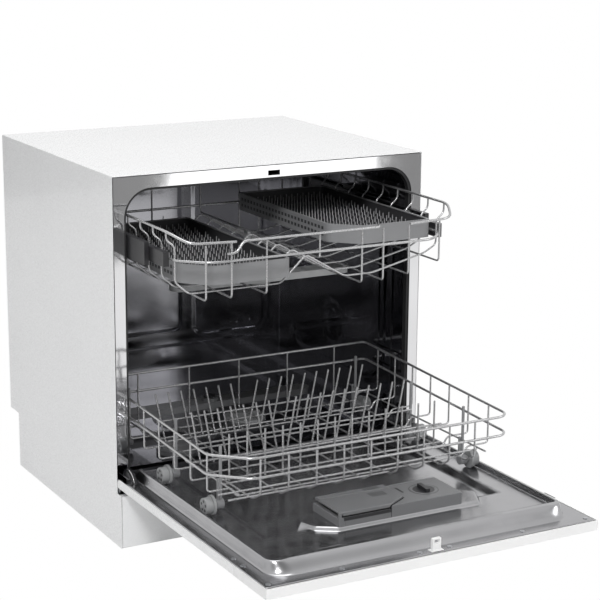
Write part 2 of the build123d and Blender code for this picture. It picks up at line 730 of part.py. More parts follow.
def dispenser_seat(grow):
    """Six-sided raised seat round the dispenser."""
    left = DISP_X0 - 4
    right = DISP_X1 + 26
    tip = (DISP_Z0 + DISP_Z1) / 2 + 2
    face = outline([
        (left - 36 + grow, tip), (left + grow, DISP_Z0 - 14 + grow), (right - 20 - grow, DISP_Z0 - 14 + grow),
        (right + 20 - grow, tip), (right - grow, DISP_Z1 + 3), (left + grow, DISP_Z1 + 3),
    ])
    return plate_y(face, DOOR_RIM - RIM_T - 3 * grow, DOOR_RIM + DISP_SEAT_RISE - grow)


def dispenser_bay(grow):
    """Room above the seat for the dispenser."""
    return block(DISP_X0 - 1 - grow, DISP_X1 + 1 + grow, DOOR_RIM + DISP_SEAT_RISE - grow, DOOR_RIM + PAN_RISE + 1,
                 DISP_Z0 - 1 - grow, DISP_Z1 + 1 + grow)


def inner_panel():
    """Stainless inner door: rim sheet, raised pan, wheel tracks, centre well and dispenser seat."""
    base = DOOR_RIM - RIM_T
    rim_half = HALF - RIM_GAP
    rim = block(-rim_half, rim_half, base, DOOR_RIM, PAN_BOTTOM + 4, DOOR_TOP - RIM_TOP_GAP)
    notch = block(LEVER_X - 6, rim_half + 1, base - 1, DOOR_RIM + 1, PAN_BOTTOM, PIVOT_Z + HINGE_NOTCH)
    for side in both_sides(notch):
        rim -= side
    inner_half = PAN_HALF - LIP_W
    outer = pan_body(0)
    outer -= pan_hollow(inner_half, TRACK_RISE, RECESS_END, 0)
    outer -= pan_hollow(FLOOR_X, PAN_FLOOR_RISE, CENTRE_END, 0)
    inner = pan_body(RIM_T)
    inner -= pan_hollow(inner_half, TRACK_RISE, RECESS_END, RIM_T)
    inner -= pan_hollow(FLOOR_X, PAN_FLOOR_RISE, CENTRE_END, RIM_T)
    outer += dispenser_seat(0) & pan_body(0)
    inner += dispenser_seat(RIM_T) & pan_body(RIM_T)
    outer -= dispenser_bay(0)
    inner -= dispenser_bay(RIM_T)
    panel = (rim - pan_body(RIM_T)) + (outer - inner)
    for x, z in screw_places():
        panel -= disc_y(x, base - 1, DOOR_RIM + 1, z, SCREW_SHANK_R + 0.1)
    panel -= block(DISP_X0 + 6, DISP_X1 - 6, base - 5, DOOR_RIM + PAN_RISE, DISP_Z0 + 6, DISP_Z1 - 6)
    return panel


def striker():
    """White hook post that enters the lock, drawn closed."""
    z = LOCK_SLOT_Z
    foot = block(-10, 10, DOOR_RIM, DOOR_RIM + 1.5, z - 6, z + 6)
    post = block(-STRIKER_W / 2, STRIKER_W / 2, DOOR_RIM, DOOR_RIM + STRIKER_H, z - STRIKER_T / 2, z + STRIKER_T / 2)
    post -= block(-4, 4, DOOR_RIM + STRIKER_H - 8, DOOR_RIM + STRIKER_H - 2.5, z - STRIKER_T, z + STRIKER_T)
    return foot + post


def screw_places():
    """Screw centres in the rim: a row along the top and two on each side."""
    places = [(x, SCREW_ROW_Z) for x in SCREW_X]
    for z in SIDE_SCREW_Z:
        places += [(SCREW_X[0], z), (SCREW_X[-1], z)]
    return places


def door_screws():
    """Round-headed screws in the rim of the inner door, drawn closed."""
    pieces = []
    for x, z in screw_places():
        head = disc_y(x, DOOR_RIM, DOOR_RIM + SCREW_HEAD, z, SCREW_R)
        pieces.append(head + disc_y(x, DOOR_RIM - SCREW_SHANK, DOOR_RIM + 0.1, z, SCREW_SHANK_R))
    return pieces


# Dispenser, drawn closed

def dispenser_body():
    """Detergent and rinse-aid unit set in the inner door."""
    seat = DOOR_RIM + DISP_SEAT_RISE
    top = block(DISP_X0, DISP_X1, seat, DISP_TOP, DISP_Z0, DISP_Z1)
    back = block(DISP_X0 + 7, DISP_X1 - 7, DISP_BACK, seat + 0.1, DISP_Z0 + 7, DISP_Z1 - 7)
    body = top + back
    lid_low = DISP_Z0 + LID_BACK
    lid_high = DISP_Z1 - LID_FRONT
    body -= block(DISP_X0 + 9, CUP_X1, CUP_FLOOR, DISP_TOP + 1, lid_low + 3, lid_high - 3)
    body += block(DISP_X0, DISP_X1, DISP_TOP - 0.1, DISP_TOP + LID_GAP + LID_T, DISP_Z0, DISP_Z0 + DISP_WALL)
    body -= disc_y(CAP_X, DISP_TOP - CAP_H, DISP_TOP + 1, CAP_Z, CAP_R + CAP_GAP)
    body -= disc_y(CAP_X, DISP_BACK + 6, DISP_TOP, CAP_Z, CAP_STEM_R + RUN_FIT)
    for ear, tip in ((lid_low - 3, lid_low + 7), (lid_high + 3, lid_high - 7)):
        body += block(DISP_X0, DISP_X0 + 4, DISP_TOP - 0.1, lid_pin_y() + 2, ear - 2.5, ear + 2.5)
        body += disc_z(DISP_X0 + 2, lid_pin_y(), min(ear, tip), max(ear, tip), LID_PIN_R)
    return body


def lid_pin_y():
    """Distance of the lid's pin line from the door's rim plane."""
    return DISP_TOP + LID_GAP + LID_T / 2


def dispenser_lid():
    """Hinged lid over the detergent cup, with a slanted free edge."""
    low = DISP_Z0 + LID_BACK
    high = DISP_Z1 - LID_FRONT
    face = outline([(DISP_X0 + 2, low), (LID_X1 + LID_SLANT, low), (LID_X1, high), (DISP_X0 + 2, high)])
    lid = plate_y(face, DISP_TOP + LID_GAP, DISP_TOP + LID_GAP + LID_T)
    lid += disc_z(DISP_X0 + 2, lid_pin_y(), low, high, LID_T / 2)
    lid -= disc_z(DISP_X0 + 2, lid_pin_y(), low - 1, high + 1, LID_PIN_R + 0.06)
    return lid


def rinse_cap():
    """Quarter-turn cap of the rinse-aid tank."""
    foot = DISP_TOP - CAP_H + 0.4
    cap = disc_y(CAP_X, foot, DISP_TOP - 2, CAP_Z, CAP_R)
    cap += disc_y(CAP_X, DISP_BACK + 8, foot + 0.1, CAP_Z, CAP_STEM_R)
    grip = block(CAP_X - 3, CAP_X + 3, foot, DISP_TOP + 4.5, CAP_Z - CAP_R + 3, CAP_Z + CAP_R - 3)
    return cap + grip


# Lower basket

LOW_REAR = LOW_FRONT + LOW_DEPTH


def spread(start, stop, pitch):
    """Evenly pitched places from start up to stop."""
    count = int((stop - start) / pitch + 1.001)
    return [start + index * pitch for index in range(count)]


def basket_rim(half, front, rear, z, corner, right_corner, drop=0.0):
    """A closed rim of wire with cut front corners, lower at the front by the drop."""
    low = z - drop
    points = [
        (-half, rear, z), (-half, front + corner, low), (-half + corner, front, low),
        (half - right_corner, front, low), (half, front + right_corner, low), (half, rear, z), (-half, rear, z),
    ]
    return wire(points, RIM_WIRE)


def lower_basket():
    """Plate basket of welded wires with two rows of leaning tines and a short front row."""
    rods = []
    for z in (LOW_RIM_Z, LOW_RIM2_Z):
        rods += basket_rim(LOW_HALF, LOW_FRONT, LOW_REAR, z, LOW_CORNER, LOW_RIGHT_CORNER, LOW_RIM_DROP)
    inside = LOW_HALF - RIM_WIRE - WIRE + 0.4
    for y in spread(LOW_FRONT + HOOP_START, LOW_REAR - 10, HOOP_PITCH):
        top = LOW_RIM_Z - LOW_RIM_DROP * (LOW_REAR - y) / LOW_DEPTH
        rods += wire([
            (-inside, y, top), (-inside, y, LOW_SHOULDER_Z), (-LOW_SHOULDER_X, y, LOW_SHOULDER_Z),
            (-LOW_SHOULDER_X + 8, y, LOW_FLOOR_Z), (LOW_SHOULDER_X - 8, y, LOW_FLOOR_Z),
            (LOW_SHOULDER_X, y, LOW_SHOULDER_Z), (inside, y, LOW_SHOULDER_Z), (inside, y, top),
        ])
    over = LOW_FLOOR_Z + 2 * WIRE - 0.3
    front = LOW_FRONT + RIM_WIRE + WIRE - 0.4
    rear = LOW_REAR - RIM_WIRE - WIRE + 0.4
    last_x = LOW_SHOULDER_X - 21
    for index, x in enumerate(spread(-last_x, last_x, LONG_PITCH)):
        way = [(x, front, LOW_RIM_Z - LOW_RIM_DROP), (x, front, over + FRONT_RISE), (x, front + 24, over)]
        if index % 2:
            way += [(x, rear - 40, over)]
        else:
            way += [(x, rear, over), (x, rear, LOW_RIM_Z)]
        rods += wire(way)
    for z in FRONT_WIRES_Z:
        rods.append(rod((-last_x - 6, front + 2.6, z), (last_x + 6, front + 2.6, z), WIRE))
    for side in (-1, 1):
        rods.append(rod((side * RUNNER_X, front + 10, runner_z()), (side * RUNNER_X, rear - 4, runner_z()), WIRE))
    rods += tine_row(LONG_ROW_Y, LOW_RIM_Z + 1)
    rods += tine_row(REAR_ROW_Y, LOW_RIM_Z - 6)
    span = LOW_SHOULDER_X - 10
    for x in spread(-span + 15, span, SHORT_PITCH):
        rods.append(rod((x, SHORT_ROW_Y, over), (x, SHORT_ROW_Y, LOW_RIM_Z - 10), WIRE))
    for z in (over + 2.7, LOW_RIM_Z - 50):
        rods.append(rod((-span, SHORT_ROW_Y + 2.6, z), (span, SHORT_ROW_Y + 2.6, z), WIRE))
    return rods


def runner_z():
    """Height of the wire that the wheel carriers clip to."""
    return LOW_SHOULDER_Z + 2 * WIRE - 0.3


def tine_row(y, top):
    """A row of plate tines that lean outwards on either side, with its two cross wires."""
    foot = LOW_FLOOR_Z + 2 * WIRE - 0.3
    span = LOW_SHOULDER_X - 8
    rods = []
    for x in spread(-span + 14, TINE_SPLIT_X, TINE_PITCH):
        rods.append(rod((x, y, foot), (x - TINE_LEAN, y, top), WIRE))
    for x in spread(TINE_SPLIT_X + TINE_PITCH / 2, span - 14, TINE_PITCH):
        rods.append(rod((x, y, foot), (x + TINE_LEAN, y, top), WIRE))
    for z in (foot + 2.7, foot + 31):
        rods.append(rod((-span, y + 2.6, z), (span, y + 2.6, z), WIRE))
    return rods


def wheel_centre_z():
    """Axle height, with the wheel just clear of its track."""
    return TRACK_Z + WHEEL_GAP + WHEEL_R


def wheel_carrier(y):
    """Right carrier: a clip on the runner wire with a stub axle and its snap head."""
    z = wheel_centre_z()
    clip = block(CARRIER_X, CARRIER_X + CARRIER_T, y - CARRIER_HALF, y + CARRIER_HALF, z - 6, runner_z() + 4)
    clip -= disc_y(RUNNER_X, y - CARRIER_HALF - 1, y + CARRIER_HALF + 1, runner_z(), WIRE + 0.05)
    axle_end = WHEEL_X + WHEEL_FLANGE_T + WHEEL_CUP_T + 0.5
    clip += disc_x(CARRIER_X + 1, WHEEL_X - 0.4, y, z, AXLE_R + 2.5)
    clip += disc_x(CARRIER_X + 1, axle_end + 0.1, y, z, AXLE_R)
    return clip + disc_x(axle_end, axle_end + 1.2, y, z, AXLE_R + 0.9)


def wheel(side, y):
    """A basket wheel: a rolling flange and an outer cup with five holes."""
    z = wheel_centre_z()
    cup_start = WHEEL_X + WHEEL_FLANGE_T
    cup_end = cup_start + WHEEL_CUP_T
    body = disc_x(WHEEL_X, cup_start, y, z, WHEEL_R)
    body += disc_x(cup_start - 0.1, cup_end, y, z, WHEEL_CUP_R)
    body -= disc_x(cup_start, cup_end - WHEEL_WEB, y, z, WHEEL_CUP_R - 1.6) - disc_x(
        cup_start - 1, cup_end + 1, y, z, AXLE_R + 1.8)
    for index in range(5):
        turn = math.radians(72 * index + 18)
        hole_y = y + 7.0 * math.cos(turn)
        hole_z = z + 7.0 * math.sin(turn)
        body -= disc_x(cup_end - WHEEL_WEB - 1, cup_end + 1, hole_y, hole_z, 2.5)
    body -= disc_x(WHEEL_X - 1, cup_end + 1, y, z, AXLE_R + RUN_FIT)
    if side < 0:
        body = mirror(body, about=Plane.YZ)
    return body


# Upper basket

UP_REAR = UP_FRONT + UP_DEPTH


def upper_basket():
    """Cup basket of welded wires with a wave floor."""
    half = UP_HALF
    front = UP_FRONT
    rods = []
    for side in (-1, 1):
        rods += wire([
            (side * half, UP_REAR, UP_RIM_Z), (side * half, front + UP_CORNER, UP_RIM_Z),
            (side * (half - 20), front, UP_RIM_Z - 14), (side * 150, front, UP_RIM_Z - 17),
        ], RIM_WIRE)
    rods.append(rod((-half, UP_REAR, UP_RIM_Z), (half, UP_REAR, UP_RIM_Z), RIM_WIRE))
    rods += wire([
        (-165, front, UP_MID_Z - 17), (-150, front, UP_MID_Z - 17), (-138, front, UP_MID_Z),
        (95, front, UP_MID_Z), (100, front + 12, UP_MID_Z),
    ], RIM_WIRE)
    low_half = UP_STEP_X + RIM_WIRE + WIRE - 0.4
    rods += basket_rim(low_half, front, UP_REAR, UP_RIM2_Z, UP_CORNER, UP_CORNER)
    for y in spread(front + UP_CORNER + 6, UP_REAR - 4, UP_HOOP_PITCH):
        left = [
            (-half + RIM_WIRE + 1.2, y, UP_RIM_Z), (-half + RIM_WIRE + 1.2, y, UP_RIM_Z - 15),
            (-UP_STEP_X, y, UP_RIM_Z - 25), (-UP_STEP_X, y, UP_LOW_Z + 20), (22 - UP_STEP_X, y, UP_LOW_Z),
        ]
        wave = [(-52, y, UP_LOW_Z), (-8, y, UP_CREST_Z), (60, y, UP_LOW_Z), (110, y, UP_LOW_Z)]
        right = [
            (UP_STEP_X - 22, y, UP_LOW_Z + 22), (UP_STEP_X, y, UP_LOW_Z + 34), (UP_STEP_X, y, UP_RIM_Z - 25),
            (half - RIM_WIRE - 1.2, y, UP_RIM_Z - 15), (half - RIM_WIRE - 1.2, y, UP_RIM_Z),
        ]
        rods += wire(left + wave + right)
    behind = front + RIM_WIRE + WIRE - 0.4
    rear = UP_REAR - RIM_WIRE - WIRE + 0.4
    under = UP_LOW_Z - 2 * WIRE + 0.3
    for x in (30 - UP_STEP_X, -156, -98, 66, 104):
        rods += wire([(x, behind, UP_MID_Z - 2), (x, behind, under), (x, rear, under), (x, rear, UP_RIM_Z)])
    over = UP_CREST_Z + 2 * WIRE - 0.3
    rods += wire([(-8, behind, UP_MID_Z), (-8, behind, over), (-8, rear, over), (-8, rear, UP_RIM_Z)])
    for x, rise in ((150, 7), (UP_STEP_X - 22, 22)):
        low = UP_LOW_Z + rise - 2 * WIRE - 2
        rods += wire([(x, behind, UP_RIM_Z - 18), (x, behind, low), (x, rear, low), (x, rear, UP_RIM_Z)])
    return rods


def tray_room(limits, inset, top):
    """A block with a cut front left corner, smaller all round by the inset."""
    x0, x1, y0, y1, z0 = limits
    cut = TRAY_CUT - 0.6 * inset
    face = outline([
        (x0 + inset, y1 - inset), (x0 + inset, y0 + cut + inset), (x0 + cut + inset, y0 + inset),
        (x1 - inset, y0 + inset), (x1 - inset, y1 - inset),
    ])
    return Pos(0, 0, z0) * extrude(face, amount=top - z0, dir=(0, 0, 1))


def spiked_tray(limits):
    """A plastic shelf with low walls, drain slots and upright spikes."""
    x0, x1, y0, y1, z0 = limits
    z1 = z0 + TRAY_H
    shell = tray_room(limits, 0, z1)
    shell -= tray_room((x0, x1, y0, y1, z0 + TRAY_WALL), TRAY_WALL, z1 + 1)
    columns = spread(x0 + 14, x1 - 10, SPIKE_PITCH_X)
    rows = spread(y0 + 16, y1 - 10, SPIKE_PITCH_Y)
    for x in columns[:-1]:
        for y in rows[:-1]:
            if x - x0 + y - y0 < TRAY_CUT + 12:
                continue
            middle = y + SPIKE_PITCH_Y / 2
            shell -= block(x + 5, x + SPIKE_PITCH_X - 5, middle - 6, middle + 6, z0 - 1, z0 + TRAY_WALL + 1)
    pieces = [shell]
    for x in columns:
        for y in rows:
            if x - x0 + y - y0 < TRAY_CUT + 12:
                continue
            floor = z0 + TRAY_WALL
            pieces.append(Pos(x, y, floor + SPIKE_H / 2) * Cone(SPIKE_R, SPIKE_R * 0.6, SPIKE_H))
    return pieces


def rail(side):
    """Upper slide rail: a channel open towards the basket, with an end cap at the front."""
    out = RAIL_X + RAIL_W
    bar = block(RAIL_X, out, RAIL_FRONT, RAIL_FRONT + RAIL_L, RAIL_Z0, RAIL_Z0 + RAIL_H)
    bar -= block(RAIL_X - 1, out - RAIL_T, RAIL_FRONT + 6, RAIL_FRONT + RAIL_L - 6,
                 RAIL_Z0 + RAIL_T, RAIL_Z0 + RAIL_H - RAIL_T)
    if side < 0:
        bar = mirror(bar, about=Plane.YZ)
    return bar


def rail_guide(y):
    """Right guide on the tub wall, above and below the rail."""
    out = TUB_HALF
    back = RAIL_X + RAIL_W + 0.3
    guide = block(back, out, y - 14, y + 14, RAIL_Z0 - 8, RAIL_Z0 + RAIL_H + 8)
    top = block(RAIL_X + 2, back, y - 14, y + 14, RAIL_Z0 + RAIL_H + 0.4, RAIL_Z0 + RAIL_H + 8)
    low = block(RAIL_X + 2, back, y - 14, y + 14, RAIL_Z0 - 8, RAIL_Z0 - 0.4)
    return [guide, top, low]


def roller_z():
    """Height of the roller axles, in the middle of the rail."""
    return RAIL_Z0 + RAIL_H / 2


def roller(side):
    """A grooved roller that runs inside the rail."""
    start = RAIL_X + 1.2
    body = disc_x(start, start + ROLLER_T, ROLLER_Y, roller_z(), ROLLER_R)
    body -= disc_x(start - 1, start + ROLLER_T + 1, ROLLER_Y, roller_z(), ROLLER_AXLE + RUN_FIT)
    if side < 0:
        body = mirror(body, about=Plane.YZ)
    return body


def roller_holder():
    """Right holder: a plate on the basket's side with the roller axle and a rear glide block."""
    x0 = UP_STEP_X + RIM_WIRE + WIRE + RIM_WIRE
    x1 = RAIL_X - 0.4
    plate = block(x0, x1, HOLDER_FRONT, ROLLER_Y + 190, roller_z() - 11, roller_z() + 11)
    axle = disc_x(x0, RAIL_X + 1.2 + ROLLER_T + 0.4, ROLLER_Y, roller_z(), ROLLER_AXLE)
    boss = disc_x(x0, RAIL_X + 0.9, ROLLER_Y, roller_z(), ROLLER_AXLE + 2)
    glide_y = ROLLER_Y + 175
    arm = block(x0, RAIL_X + 4.5, glide_y - 12, glide_y + 12, roller_z() - 8, roller_z() + 8)
    return plate + axle + boss + arm


# Wash system

def spray_arm(length, z, y, stem):
    """A hollow-looking rotor blade with a bored hub and jets."""
    blade = Pos(0, y, z + ARM_T / 2) * extrude(SlotOverall(2 * length, ARM_W), amount=ARM_T / 2, both=True)
    hub = disc_z(0, y, z - 6, z + ARM_T + 5, ARM_BORE + 7)
    arm = blade + hub
    for side in (-1, 1):
        for share in (0.3, 0.5, 0.7, 0.88):
            arm -= disc_z(side * share * length, y + side * 6, z + ARM_T - 2, z + ARM_T + 1, 2.2)
    return arm - disc_z(0, y, z - 8, z + ARM_T + 8, stem + RUN_FIT)


def sump():
    """Sump bowl under the tub floor with the lower arm's spindle."""
    rim_z = FLOOR_Z - TUB_T - 0.1
    bowl = disc_z(0, ARM_Y, SUMP_FLOOR, rim_z, SUMP_R + SUMP_T)
    bowl -= disc_z(0, ARM_Y, SUMP_FLOOR + SUMP_T, rim_z + 1, SUMP_R)
    stem = disc_z(0, ARM_Y, SUMP_FLOOR + 1, ARM_LOW_Z - 6.5, ARM_BORE + 4)
    spindle = disc_z(0, ARM_Y, ARM_LOW_Z - 8, ARM_LOW_Z + ARM_T + 5.5, ARM_BORE)
    cap = disc_z(0, ARM_Y, ARM_LOW_Z + ARM_T + 5.4, ARM_LOW_Z + ARM_T + 8, ARM_BORE + 2.5)
    return bowl + stem + spindle + cap


def fine_filter():
    """Perforated filter plate over the sump."""
    plate = disc_z(0, ARM_Y, FLOOR_Z - 1.0, FLOOR_Z - 1.0 + FILTER_T, SUMP_R - 0.5)
    plate -= disc_z(0, ARM_Y, FLOOR_Z - 3, FLOOR_Z + 3, ARM_BORE + 4.3)
    plate -= disc_z(CUP_DX, ARM_Y + CUP_DY, FLOOR_Z - 3, FLOOR_Z + 3, CUP_R + 0.4)
    return plate


def filter_cup():
    """Twist-out coarse filter with a finger grip."""
    x = CUP_DX
    y = ARM_Y + CUP_DY
    top = FLOOR_Z + 5
    cup = disc_z(x, y, SUMP_FLOOR + SUMP_T + 1, top, CUP_R - 4)
    cup -= disc_z(x, y, SUMP_FLOOR + SUMP_T + 3, top + 1, CUP_R - 6)
    collar = disc_z(x, y, FLOOR_Z + 0.8, top, CUP_R + 2) - disc_z(x, y, FLOOR_Z, top + 1, CUP_R - 5)
    grip = block(x - CUP_R + 5, x + CUP_R - 5, y - 2, y + 2, FLOOR_Z - 10, top + 5)
    return cup + collar + grip


def salt_cap():
    """Screw cap of the salt tank in the tub floor."""
    cap = disc_z(SALT_X, SALT_Y, FLOOR_Z + 0.4, FLOOR_Z + SALT_H, SALT_R + 3)
    grip = block(SALT_X - SALT_R + 4, SALT_X + SALT_R - 4, SALT_Y - 3, SALT_Y + 3,
                 FLOOR_Z + SALT_H - 1, FLOOR_Z + SALT_H + 5)
    neck = disc_z(SALT_X, SALT_Y, FLOOR_Z - 10, FLOOR_Z + 0.5, SALT_R - 6)
    return cap + grip + neck


def water_softener():
    """Softener and salt tank under the left of the tub floor."""
    top = FLOOR_Z - TUB_T - 0.2
    tank = block(SALT_X - 60, SALT_X + 50, SALT_Y - 45, SALT_Y + 45, SERVICE_Z - 22, top)
    throat = disc_z(SALT_X, SALT_Y, FLOOR_Z - 14, top + 1, SALT_R - 5.6)
    return tank - throat


def circulation_pump():
    """Main pump lying behind the sump on its motor, with its volute."""
    motor = disc_x(-160, -105, PUMP_Y, PUMP_Z, MOTOR_R)
    volute = disc_x(-105.1, -84, PUMP_Y, PUMP_Z, VOLUTE_R)
    inlet = disc_x(-84.1, -58, PUMP_Y, PUMP_Z, 12)
    return motor + volute + inlet


def wash_heater():
    """Flow-through heater in a steel tube."""
    shell = disc_x(-30, 100, PUMP_Y, PUMP_Z, HEATER_R)
    return shell + disc_x(-44, -29.9, PUMP_Y, PUMP_Z, 12) + disc_x(99.9, 112, PUMP_Y, PUMP_Z, PIPE_R)


def drain_pump():
    """Drain pump on the right of the sump."""
    x = SUMP_R + SUMP_T + 0.2
    body = disc_x(x, x + 14, ARM_Y, SUMP_FLOOR + 22, 20)
    return body + disc_x(x + 13.9, x + 62, ARM_Y, SUMP_FLOOR + 22, 24)


def air_break():
    """Flat water tank between the tub and the left side panel."""
    x0 = -SIDE_IN + 1.2
    x1 = -TUB_WALL_OUT - 1.2
    return block(x0, x1, 80, TUB_REAR - 75, 190, TUB_TOP - 74)


def feed_pipe():
    """Pipe from the heater up the right side and across the back to the upper dock."""
    y = PUMP_Y
    z = PUMP_Z
    points = [
        (112.3, y, z), (135, y, z), (135, y, z + 30), (FEED_X, y, z + 30), (FEED_X, y, DOCK_Z + 60),
        (FEED_X, FEED_Y, DOCK_Z + 60), (0, FEED_Y, DOCK_Z + 60), (0, FEED_Y, DOCK_Z + 18),
    ]
    pipe = tube(points, PIPE_R + 2.5, PIPE_R, PIPE_R - PIPE_WALL)
    elbow = block(-PIPE_R, PIPE_R, FEED_Y - PIPE_R, FEED_Y + PIPE_R, DOCK_Z - PIPE_R, DOCK_Z + 17.9)
    nozzle = disc_y(0, TUB_REAR - 5, FEED_Y - PIPE_R + 0.1, DOCK_Z, PIPE_R - 0.3)
    return pipe, elbow + nozzle


def spray_manifold():
    """Feed tube under the upper basket with the upper arm's spindle."""
    z = DOCK_Z
    hub_top = ARM_UP_Z + ARM_T + 5.6
    head = disc_z(0, ARM_UP_Y, hub_top, z + 9, 17)
    pipe = disc_y(0, ARM_UP_Y + 15.6, UP_REAR - 1, z, 8)
    cone = Pos(0, UP_REAR - 4, z) * Rot(90, 0, 0) * Cylinder(10, 8)
    spindle = disc_z(0, ARM_UP_Y, ARM_UP_Z - 7, hub_top + 0.1, ARM_BORE)
    stop = disc_z(0, ARM_UP_Y, ARM_UP_Z - 9.5, ARM_UP_Z - 6.9, ARM_BORE + 2.5)
    hanger = block(-3, 3, ARM_UP_Y + 40, ARM_UP_Y + 52, z + 7, UP_CREST_Z - WIRE)
    return head + pipe + cone + spindle + stop + hanger


def inlet_valve():
    """Water inlet valve with its threaded stub through the recess."""
    body = block(INLET_X - 18, INLET_X + 18, RECESS_Y - 40, RECESS_Y - 8, SERVICE_Z - 18, SERVICE_Z + 22)
    neck = disc_y(INLET_X, RECESS_Y - 8.1, RECESS_Y - 0.5, SERVICE_Z, INLET_R + 2)
    root = RECESS_Y + SHEET + STUB_ROOT
    stub = disc_y(INLET_X, RECESS_Y - 0.6, root + 0.1, SERVICE_Z, INLET_R - STUB_ROOT)
    stub += disc_y(INLET_X, root, RECESS_Y + INLET_L, SERVICE_Z, INLET_R)
    bore = disc_y(INLET_X, RECESS_Y - 6, RECESS_Y + INLET_L + 1, SERVICE_Z, INLET_R - 4)
    return body + neck + stub - bore


def drain_spigot():
    """Smooth drain outlet in the recess."""
    root = RECESS_Y + SHEET + STUB_ROOT
    pipe = disc_y(DRAIN_X, RECESS_Y - 30, root + 0.1, SERVICE_Z, DRAIN_R - STUB_ROOT)
    pipe += disc_y(DRAIN_X, root, RECESS_Y + DRAIN_L, SERVICE_Z, DRAIN_R)
    collar = disc_y(DRAIN_X, RECESS_Y - 4, RECESS_Y - 0.3, SERVICE_Z, DRAIN_R + 5)
    return pipe + collar - disc_y(DRAIN_X, RECESS_Y - 31, RECESS_Y + DRAIN_L + 1, SERVICE_Z, DRAIN_R - 3)


def cord_gland():
    """Bush for the power cord."""
    bush = disc_y(GLAND_X, RECESS_Y - 8, RECESS_Y + 10, SERVICE_Z, GLAND_R)
    bush += disc_y(GLAND_X, RECESS_Y + SHEET + 0.1, RECESS_Y + 4, SERVICE_Z, GLAND_R + 3)
    return bush - disc_y(GLAND_X, RECESS_Y - 9, RECESS_Y + 11, SERVICE_Z, GLAND_R - 4)


def hoses():
    """Hoses inside the base."""
    side_x = -(TUB_WALL_OUT + SIDE_IN) / 2
    to_heater = disc_x(-57.8, -44.2, PUMP_Y, PUMP_Z, 12) - disc_x(-60, -42, PUMP_Y, PUMP_Z, 10)
    drain = tube([
        (SUMP_R + SUMP_T + 63, ARM_Y, SUMP_FLOOR + 22), (DRAIN_X + 12, ARM_Y, SUMP_FLOOR + 22),
        (DRAIN_X + 12, ARM_Y + 60, SERVICE_Z), (DRAIN_X, ARM_Y + 100, SERVICE_Z),
        (DRAIN_X, RECESS_Y - 30.3, SERVICE_Z),
    ], 9, 8, 6)
    fill = tube([
        (INLET_X - 18.3, RECESS_Y - 24, SERVICE_Z), (side_x, RECESS_Y - 24, SERVICE_Z),
        (side_x, 330, SERVICE_Z), (side_x, 330, 189.7),
    ], 9, 5.5, 4)
    down = tube([
        (side_x, 250, 189.7), (side_x, 250, SERVICE_Z), (SALT_X - 35, 250, SERVICE_Z),
        (SALT_X - 35, SALT_Y + 45.3, SERVICE_Z),
    ], 9, 5.5, 4)
    return [to_heater, drain, fill, down]


save("left_side_panel", mirror(side_panel(), about=Plane.YZ))
save("right_side_panel", side_panel())
save("top_panel", top_panel())
save("rear_panel", rear_panel())
save("base_tray", base_tray())
save("kick_plate", kick_plate())
save("feet", *feet())
save("tub", tub())
save("door_gasket", *door_gasket())
save("door_lock", door_lock())
save("latch_hook", latch_hook())
save("hinge_brackets", *both_sides(hinge_bracket()))
right_spring = door_spring()
save("door_springs", *right_spring, *[mirror(piece, about=Plane.YZ) for piece in right_spring])
save("rail_guides", *[side for y in (32.0, 190.0) for piece in rail_guide(y) for side in both_sides(piece)])
save("sump", sump())
save("fine_filter", fine_filter())
save("filter_cup", filter_cup())
save("lower_spray_arm", spray_arm(ARM_LOW_L, ARM_LOW_Z, ARM_Y, ARM_BORE))
save("salt_cap", salt_cap())
save("water_softener", water_softener())
save("circulation_pump", circulation_pump())
save("wash_heater", wash_heater())
save("drain_pump", drain_pump())
save("air_break", air_break())
save("inlet_valve", inlet_valve())
save("drain_spigot", drain_spigot())
save("cord_gland", cord_gland())
save("hoses", *hoses())
save("feed_pipe", *feed_pipe())

save_door("door_panel", door_panel())
save_door("control_panel", control_panel())
save_door("control_board", *control_board())
save_door("inner_panel", inner_panel())
save_door("striker", striker())
save_door("door_screws", *door_screws())
save_door("hinge_levers", *both_sides(hinge_lever()), *both_sides(hinge_cover()))
save_door("dispenser_body", dispenser_body())
save_door("dispenser_lid", dispenser_lid())
save_door("rinse_cap", rinse_cap())
for label, place in BUTTON_X.items():
    save_door(f"{label}_button", button(place))

save("lower_basket", *lower_basket())
carriers = []
for row in WHEEL_Y:
    carriers += both_sides(wheel_carrier(row))
save("wheel_carriers", *carriers)
for number, row in enumerate(WHEEL_Y, start=1):
    save(f"left_wheel_{number}", wheel(-1, row))
    save(f"right_wheel_{number}", wheel(1, row))

save("upper_basket", *upper_basket())
save("left_tray", *spiked_tray(LEFT_TRAY))
save("right_tray", *spiked_tray(RIGHT_TRAY))
save("roller_holders", *both_sides(roller_holder()))
save("left_rail", rail(-1))
save("right_rail", rail(1))
save("left_roller", roller(-1))
save("right_roller", roller(1))
save("spray_manifold", spray_manifold())
save("upper_spray_arm", spray_arm(ARM_UP_L, ARM_UP_Z, ARM_UP_Y, ARM_BORE))
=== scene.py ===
"""Tabletop dishwasher, door down and both baskets part way out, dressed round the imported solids.

Lengths of the pieces are millimetres in the frame of the part's layout: y = 0 is the front plane of the
tub flange. place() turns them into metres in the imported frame. Lamps and floors are given in metres.
"""
import bpy
import bmesh
import json
import math
import numpy as np
from mathutils import Matrix, Vector


